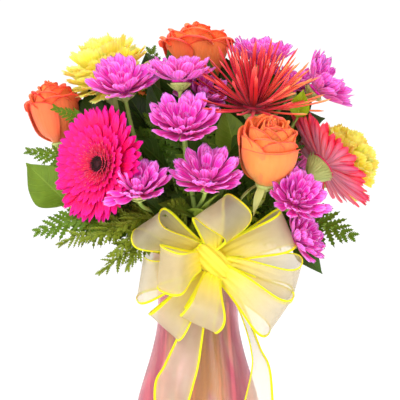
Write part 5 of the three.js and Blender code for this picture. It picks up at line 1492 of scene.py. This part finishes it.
def filling_leaves():
    """Broad leaves that close the bouquet between the blooms, each on a thin stem from the vase's mouth. They take a
    darker copy of the leaf's colours, as painted shade inside the bouquet.
    """
    skin, draw = Skin(), Draw(9)

    def put_leaf(root, heading, face, length, width, inward):
        root = np.array(root, float)
        form = {"heading": heading, "face": face, "length": length, "width": width}
        skin.sheet(leaf_grid(root, form, 0, 1, 1.4, 6 * draw.random()), 0.6, draw.random(), 1)
        low = np.array((root[0] * inward, root[1] * inward, 206))
        skin.tube(smooth_line([low, (low + root) / 2 + (0, 0, 4), root], 8), 1.1, 6, 0.4)

    for row in FILL_LEAVES:
        put_leaf(*row, 0.45)
    for level, (count, radius, height, rise) in enumerate(LEAF_RINGS):
        for k in range(count):
            angle = TAU * (k + 0.5 * level + draw.off(0.5)) / count
            c, s = math.cos(angle), math.sin(angle)
            root = (radius * c * 1.25, radius * s * 0.8, height + draw.off(8))
            heading = (c * 1.1, s * 0.7, rise + draw.off(0.3))
            put_leaf(root, heading, (c * rise, s * rise, 0.7), 50 + 12 * draw.random(), 28 + 8 * draw.random(), 0.5)
    skin.shown("filling_leaves", ["stem", "shaded_leaf_copy"], "leaf_green")


# ---------------------------------------------------------------- ribbon
RIBBON = {"width": 38, "gathered": 15, "edge": 1.15, "tie": 13}
KNOT = {"place": (13, -55, 188), "facing": (0.7, 0.14, -0.7), "form": [(6.5, -19), (11, -12), (11, 12), (6.5, 19)]}
LOOPS = [
    {"root": (3, -54, 196), "ends": ((-57, -73, 210), (-33, -82, 229)), "open": 9},
    {"root": (3, -62, 188), "ends": ((-28, -90, 162), (-27, -86, 199)), "open": 14},
    {"root": (3, -53, 181), "ends": ((-53, -60, 154), (-47, -58, 193)), "open": 10},
    {"root": (8, -54, 176), "ends": ((-42, -58, 141), (-17, -72, 120)), "open": 8},
    {"root": (13, -62, 176), "ends": ((-12, -84, 144), (18, -94, 129)), "open": 12},
    {"root": (20, -60, 179), "ends": ((61, -66, 125), (82, -72, 156)), "open": 9},
    {"root": (23, -56, 186), "ends": ((83, -58, 157), (90, -76, 187)), "open": 8},
    {"root": (21, -54, 193), "ends": ((84, -76, 201), (72, -68, 232)), "open": 9},
    {"root": (14, -60, 198), "ends": ((2, -80, 222), (31, -92, 244)), "open": 14, "aside": (7, 15)},
]
TAILS = [
    {
        "left": [(6, -54, 178), (-7, -58, 145), (-20, -62, 116), (-29, -64, 97), (-37, -67, 80), (-36, -70, 40)],
        "right": [(14, -56, 178), (7, -60, 145), (3, -64, 118), (0, -65, 98), (-4, -66, 82), (-20, -72, 26)],
    },
    {
        "left": [(18, -56, 178), (28, -58, 160), (38, -60, 140), (46, -66, 112), (46, -69, 90), (34, -74, 44)],
        "right": [(25, -53, 178), (34, -54, 160), (44, -54, 138), (54, -56, 112), (63, -61, 90), (66, -68, 30)],
    },
]


def loop_grid(loop, rows=49, cols=13):
    """A loop of the bow: out from the knot, round its fold and back, in pleats where it is gathered."""
    root = np.array(loop["root"], float)
    a, b = (np.array(end, float) for end in loop["ends"])
    across = unit(b - a)
    out = unit((a + b) / 2 - root)
    lift = np.cross(out, across)
    t = np.linspace(0, 1, rows)[:, None, None]
    u = np.linspace(-1, 1, cols)[None, :, None]
    reach = 1 - np.abs(2 * t - 1) ** 2.2
    belly = 1.15 * loop["open"] * np.sin(TAU * t) * (0.4 + 0.6 * np.sin(math.pi * t))
    start = root + across * u * RIBBON["gathered"] / 2
    end = a + (b - a) * (u + 1) / 2
    pleat = 1.2 * (1 - reach) ** 0.8 * np.cos(3.5 * math.pi * u) * (1 - u**4)
    sag = 1.5 * np.sin(math.pi * t) * np.sin(2.2 * u + 9 * t)
    side = unit(across - out * (across @ out))
    side *= math.copysign(1, side[2])
    near = np.sin(TAU * t) * -math.copysign(1, lift[1])
    turned, bulged = loop.get("aside", (-5.5, 0))
    apart = turned * near * reach + bulged * 4 * reach * (1 - reach) * (near > 0)
    return start + (end - start) * reach + lift * (belly + pleat + sag) + side * apart


def tail_grid(tail, rows=49, cols=11):
    left, right = smooth_line(tail["left"], rows), smooth_line(tail["right"], rows)
    u = np.linspace(0, 1, cols)[None, :, None]
    grid = left[:, None] * (1 - u) + right[:, None] * u
    t = np.linspace(0, 1, rows)[:, None, None]
    normal = np.cross(right - left, np.gradient(left, axis=0))
    normal /= np.linalg.norm(normal, axis=1, keepdims=True)
    fold = 1.6 * np.sin(3 * math.pi * u) * (1 - t) ** 2 + 0.8 * np.sin(TAU * u + 8 * t)
    return grid + normal[:, None] * fold * np.sin(math.pi * u)


def flat_size(width, *grids):
    """The flat width and length, in metres, of a ribbon with the area of these surfaces."""
    area = 0
    for grid in grids:
        a, b = grid[1:, 1:] - grid[:-1, :-1], grid[1:, :-1] - grid[:-1, 1:]
        area += np.linalg.norm(np.cross(a, b), axis=2).sum() / 2
    return width * MM, area / width * MM


def bow():
    """The bow in one length of ribbon, its wired edges, and its knot."""
    fabric, edges, knot = Skin(), Skin(), Skin()
    loops, tails = [loop_grid(loop) for loop in LOOPS], [tail_grid(tail) for tail in TAILS]
    t = np.linspace(0, 1, len(loops[0]))
    gathered = [np.abs(2 * t - 1) ** 2.6] * len(loops) + [np.clip(1 - 4 * t, 0, 1)] * len(tails)
    for grid, tone in zip(loops + tails, gathered):
        fabric.layer(grid, np.repeat(tone, grid.shape[1]))
        for edge, inside in ((grid[:, 0], grid[:, 1]), (grid[:, -1], grid[:, -2])):
            edges.tube(edge, RIBBON["edge"], 8, 0.5, flat=0.45, across=inside[0] - edge[0])
    for grid in tails:
        edges.tube(grid[-1], 0.35, 6, 0.5)
    place = Place(KNOT)
    turn = np.linspace(0, TAU, 73)
    rings = []
    for r, h in smooth_line(KNOT["form"], 15):
        rings.append(place.at(polar(r + 1.2 * np.cos(9 * turn) * (0.6 + h * h / 700) - 0.6, turn, h)))
    knot.layer(np.array(rings).transpose(1, 0, 2), 0.9)
    for side in (0, -1):
        edges.tube(rings[side], 0.8, 6, 0.5)
    edge_piece = edges.shown("ribbon_edges", ["satin_edge"], "ribbon")
    bow_piece = fabric.shown("bow_ribbon", ["ribbon"], "ribbon", "bow")
    knot_piece = knot.shown("bow_knot", ["ribbon"], "ribbon")
    flat_size(RIBBON["width"], *loops, *tails)


def neck_tie():
    """The narrow ribbon that is tied round the vase's neck, in soft creases."""
    outside = smooth_line(VASE["outline"], 200)
    turn = np.linspace(0, TAU, 145)
    rows = []
    for share in np.linspace(0, 1, 9):
        z = 177 + 12 * share
        r = np.interp(z, outside[:, 1], outside[:, 0]) + 1.0 + 0.35 * math.cos(4.4 * math.pi * share)
        rows.append(polar(r + 0.3 * np.sin(11 * turn + 5 * share), turn, z + 0.5 * np.sin(6 * turn)))
    grid, skin = np.array(rows).transpose(1, 0, 2), Skin()
    skin.layer(grid, 0.2)
    tie = skin.shown("neck_tie", ["ribbon"], "ribbon", "ribbon_band")
    flat_size(RIBBON["tie"], grid)


# ---------------------------------------------------------------- the whole
def build():
    vase_and_water()
    # how a bloom is drawn, its kind, the blooms, and the first one's seed
    for drawn, kind, blooms, first in ((rose, ROSE, ROSES, 40), (gerbera, GERBERA, GERBERAS, 11),
                                       (carnation, CARNATION, CARNATIONS, 13), (spider_mum, SPIDER, SPIDERS, 15),
                                       (daisy, DAISY, DAISIES, 16)):
        for seed, bloom in enumerate(blooms, first):
            drawn(bloom, seed)
            if kind is not DAISY:
                bloom_stem(bloom, kind, seed)
    for k, spray in enumerate(SPRAYS):
        spray_stem(spray, 60 + 10 * k)
    for seed, values in enumerate(FRONDS, 120):
        frond(*values, seed)
    for seed, stem in enumerate(TWIGS, 150):
        leaf_twig(stem, "bright" if stem["name"] == "leaves_right" else "leaf", seed)
    filling()
    filling_leaves()
    neck_tie()
    bow()


# Each light's name, place, what it looks at, size in metres and power in watts.
LIGHTS = [
    ("key", (-1.0, -1.5, 1.5), (0, 0, 0.25), 1.0, 30),
    ("fill", (1.4, -1.2, 0.9), (0, 0, 0.25), 1.2, 10),
    ("low front", (-0.7, -1.7, 0.2), (0, 0, 0.28), 1.0, 11),
    ("top", (0.1, 0.3, 1.7), (0, 0, 0.3), 1.0, 12),
]


def studio():
    """A white studio: pale floor, a soft key light from the upper left, softer ones from the other sides."""
    mesh = bpy.data.meshes.new("floor")
    mesh.from_pydata([(-6, -6, 0), (6, -6, 0), (6, 6, 0), (-6, 6, 0)], [], [(0, 1, 2, 3)])
    floor = bpy.data.objects.new("floor", mesh)
    bpy.context.collection.objects.link(floor)
    pale = {"Base Color": (0.86, 0.86, 0.86, 1), "Roughness": 0.9, "Emission Color": WHITE, "Emission Strength": 0.5}
    mesh.materials.append(bare("studio floor", pale)[0])
    for name, place, look_at, size, power in LIGHTS:
        data = bpy.data.lights.new(name, "AREA")
        data.size, data.energy = size, power
        light = bpy.data.objects.new(name, data)
        light.location = place
        x, y, z = np.subtract(look_at, place)
        light.rotation_euler = (math.acos(-z / math.hypot(x, y, z)), 0, math.atan2(y, x) - math.pi / 2)
        bpy.context.collection.objects.link(light)
    world = bpy.data.worlds.new("studio")
    bpy.context.scene.world = world
    world.use_nodes = True
    tree = world.node_tree
    seen = read(tree, "ShaderNodeLightPath", "Is Camera Ray")
    feed(tree, tree.nodes["Background"], {0: WHITE, 1: seen * 0.45 + 0.62})
    bpy.context.scene.view_settings.view_transform = "Standard"
    bpy.context.scene.cycles.transparent_max_bounces = 32


build()
studio()
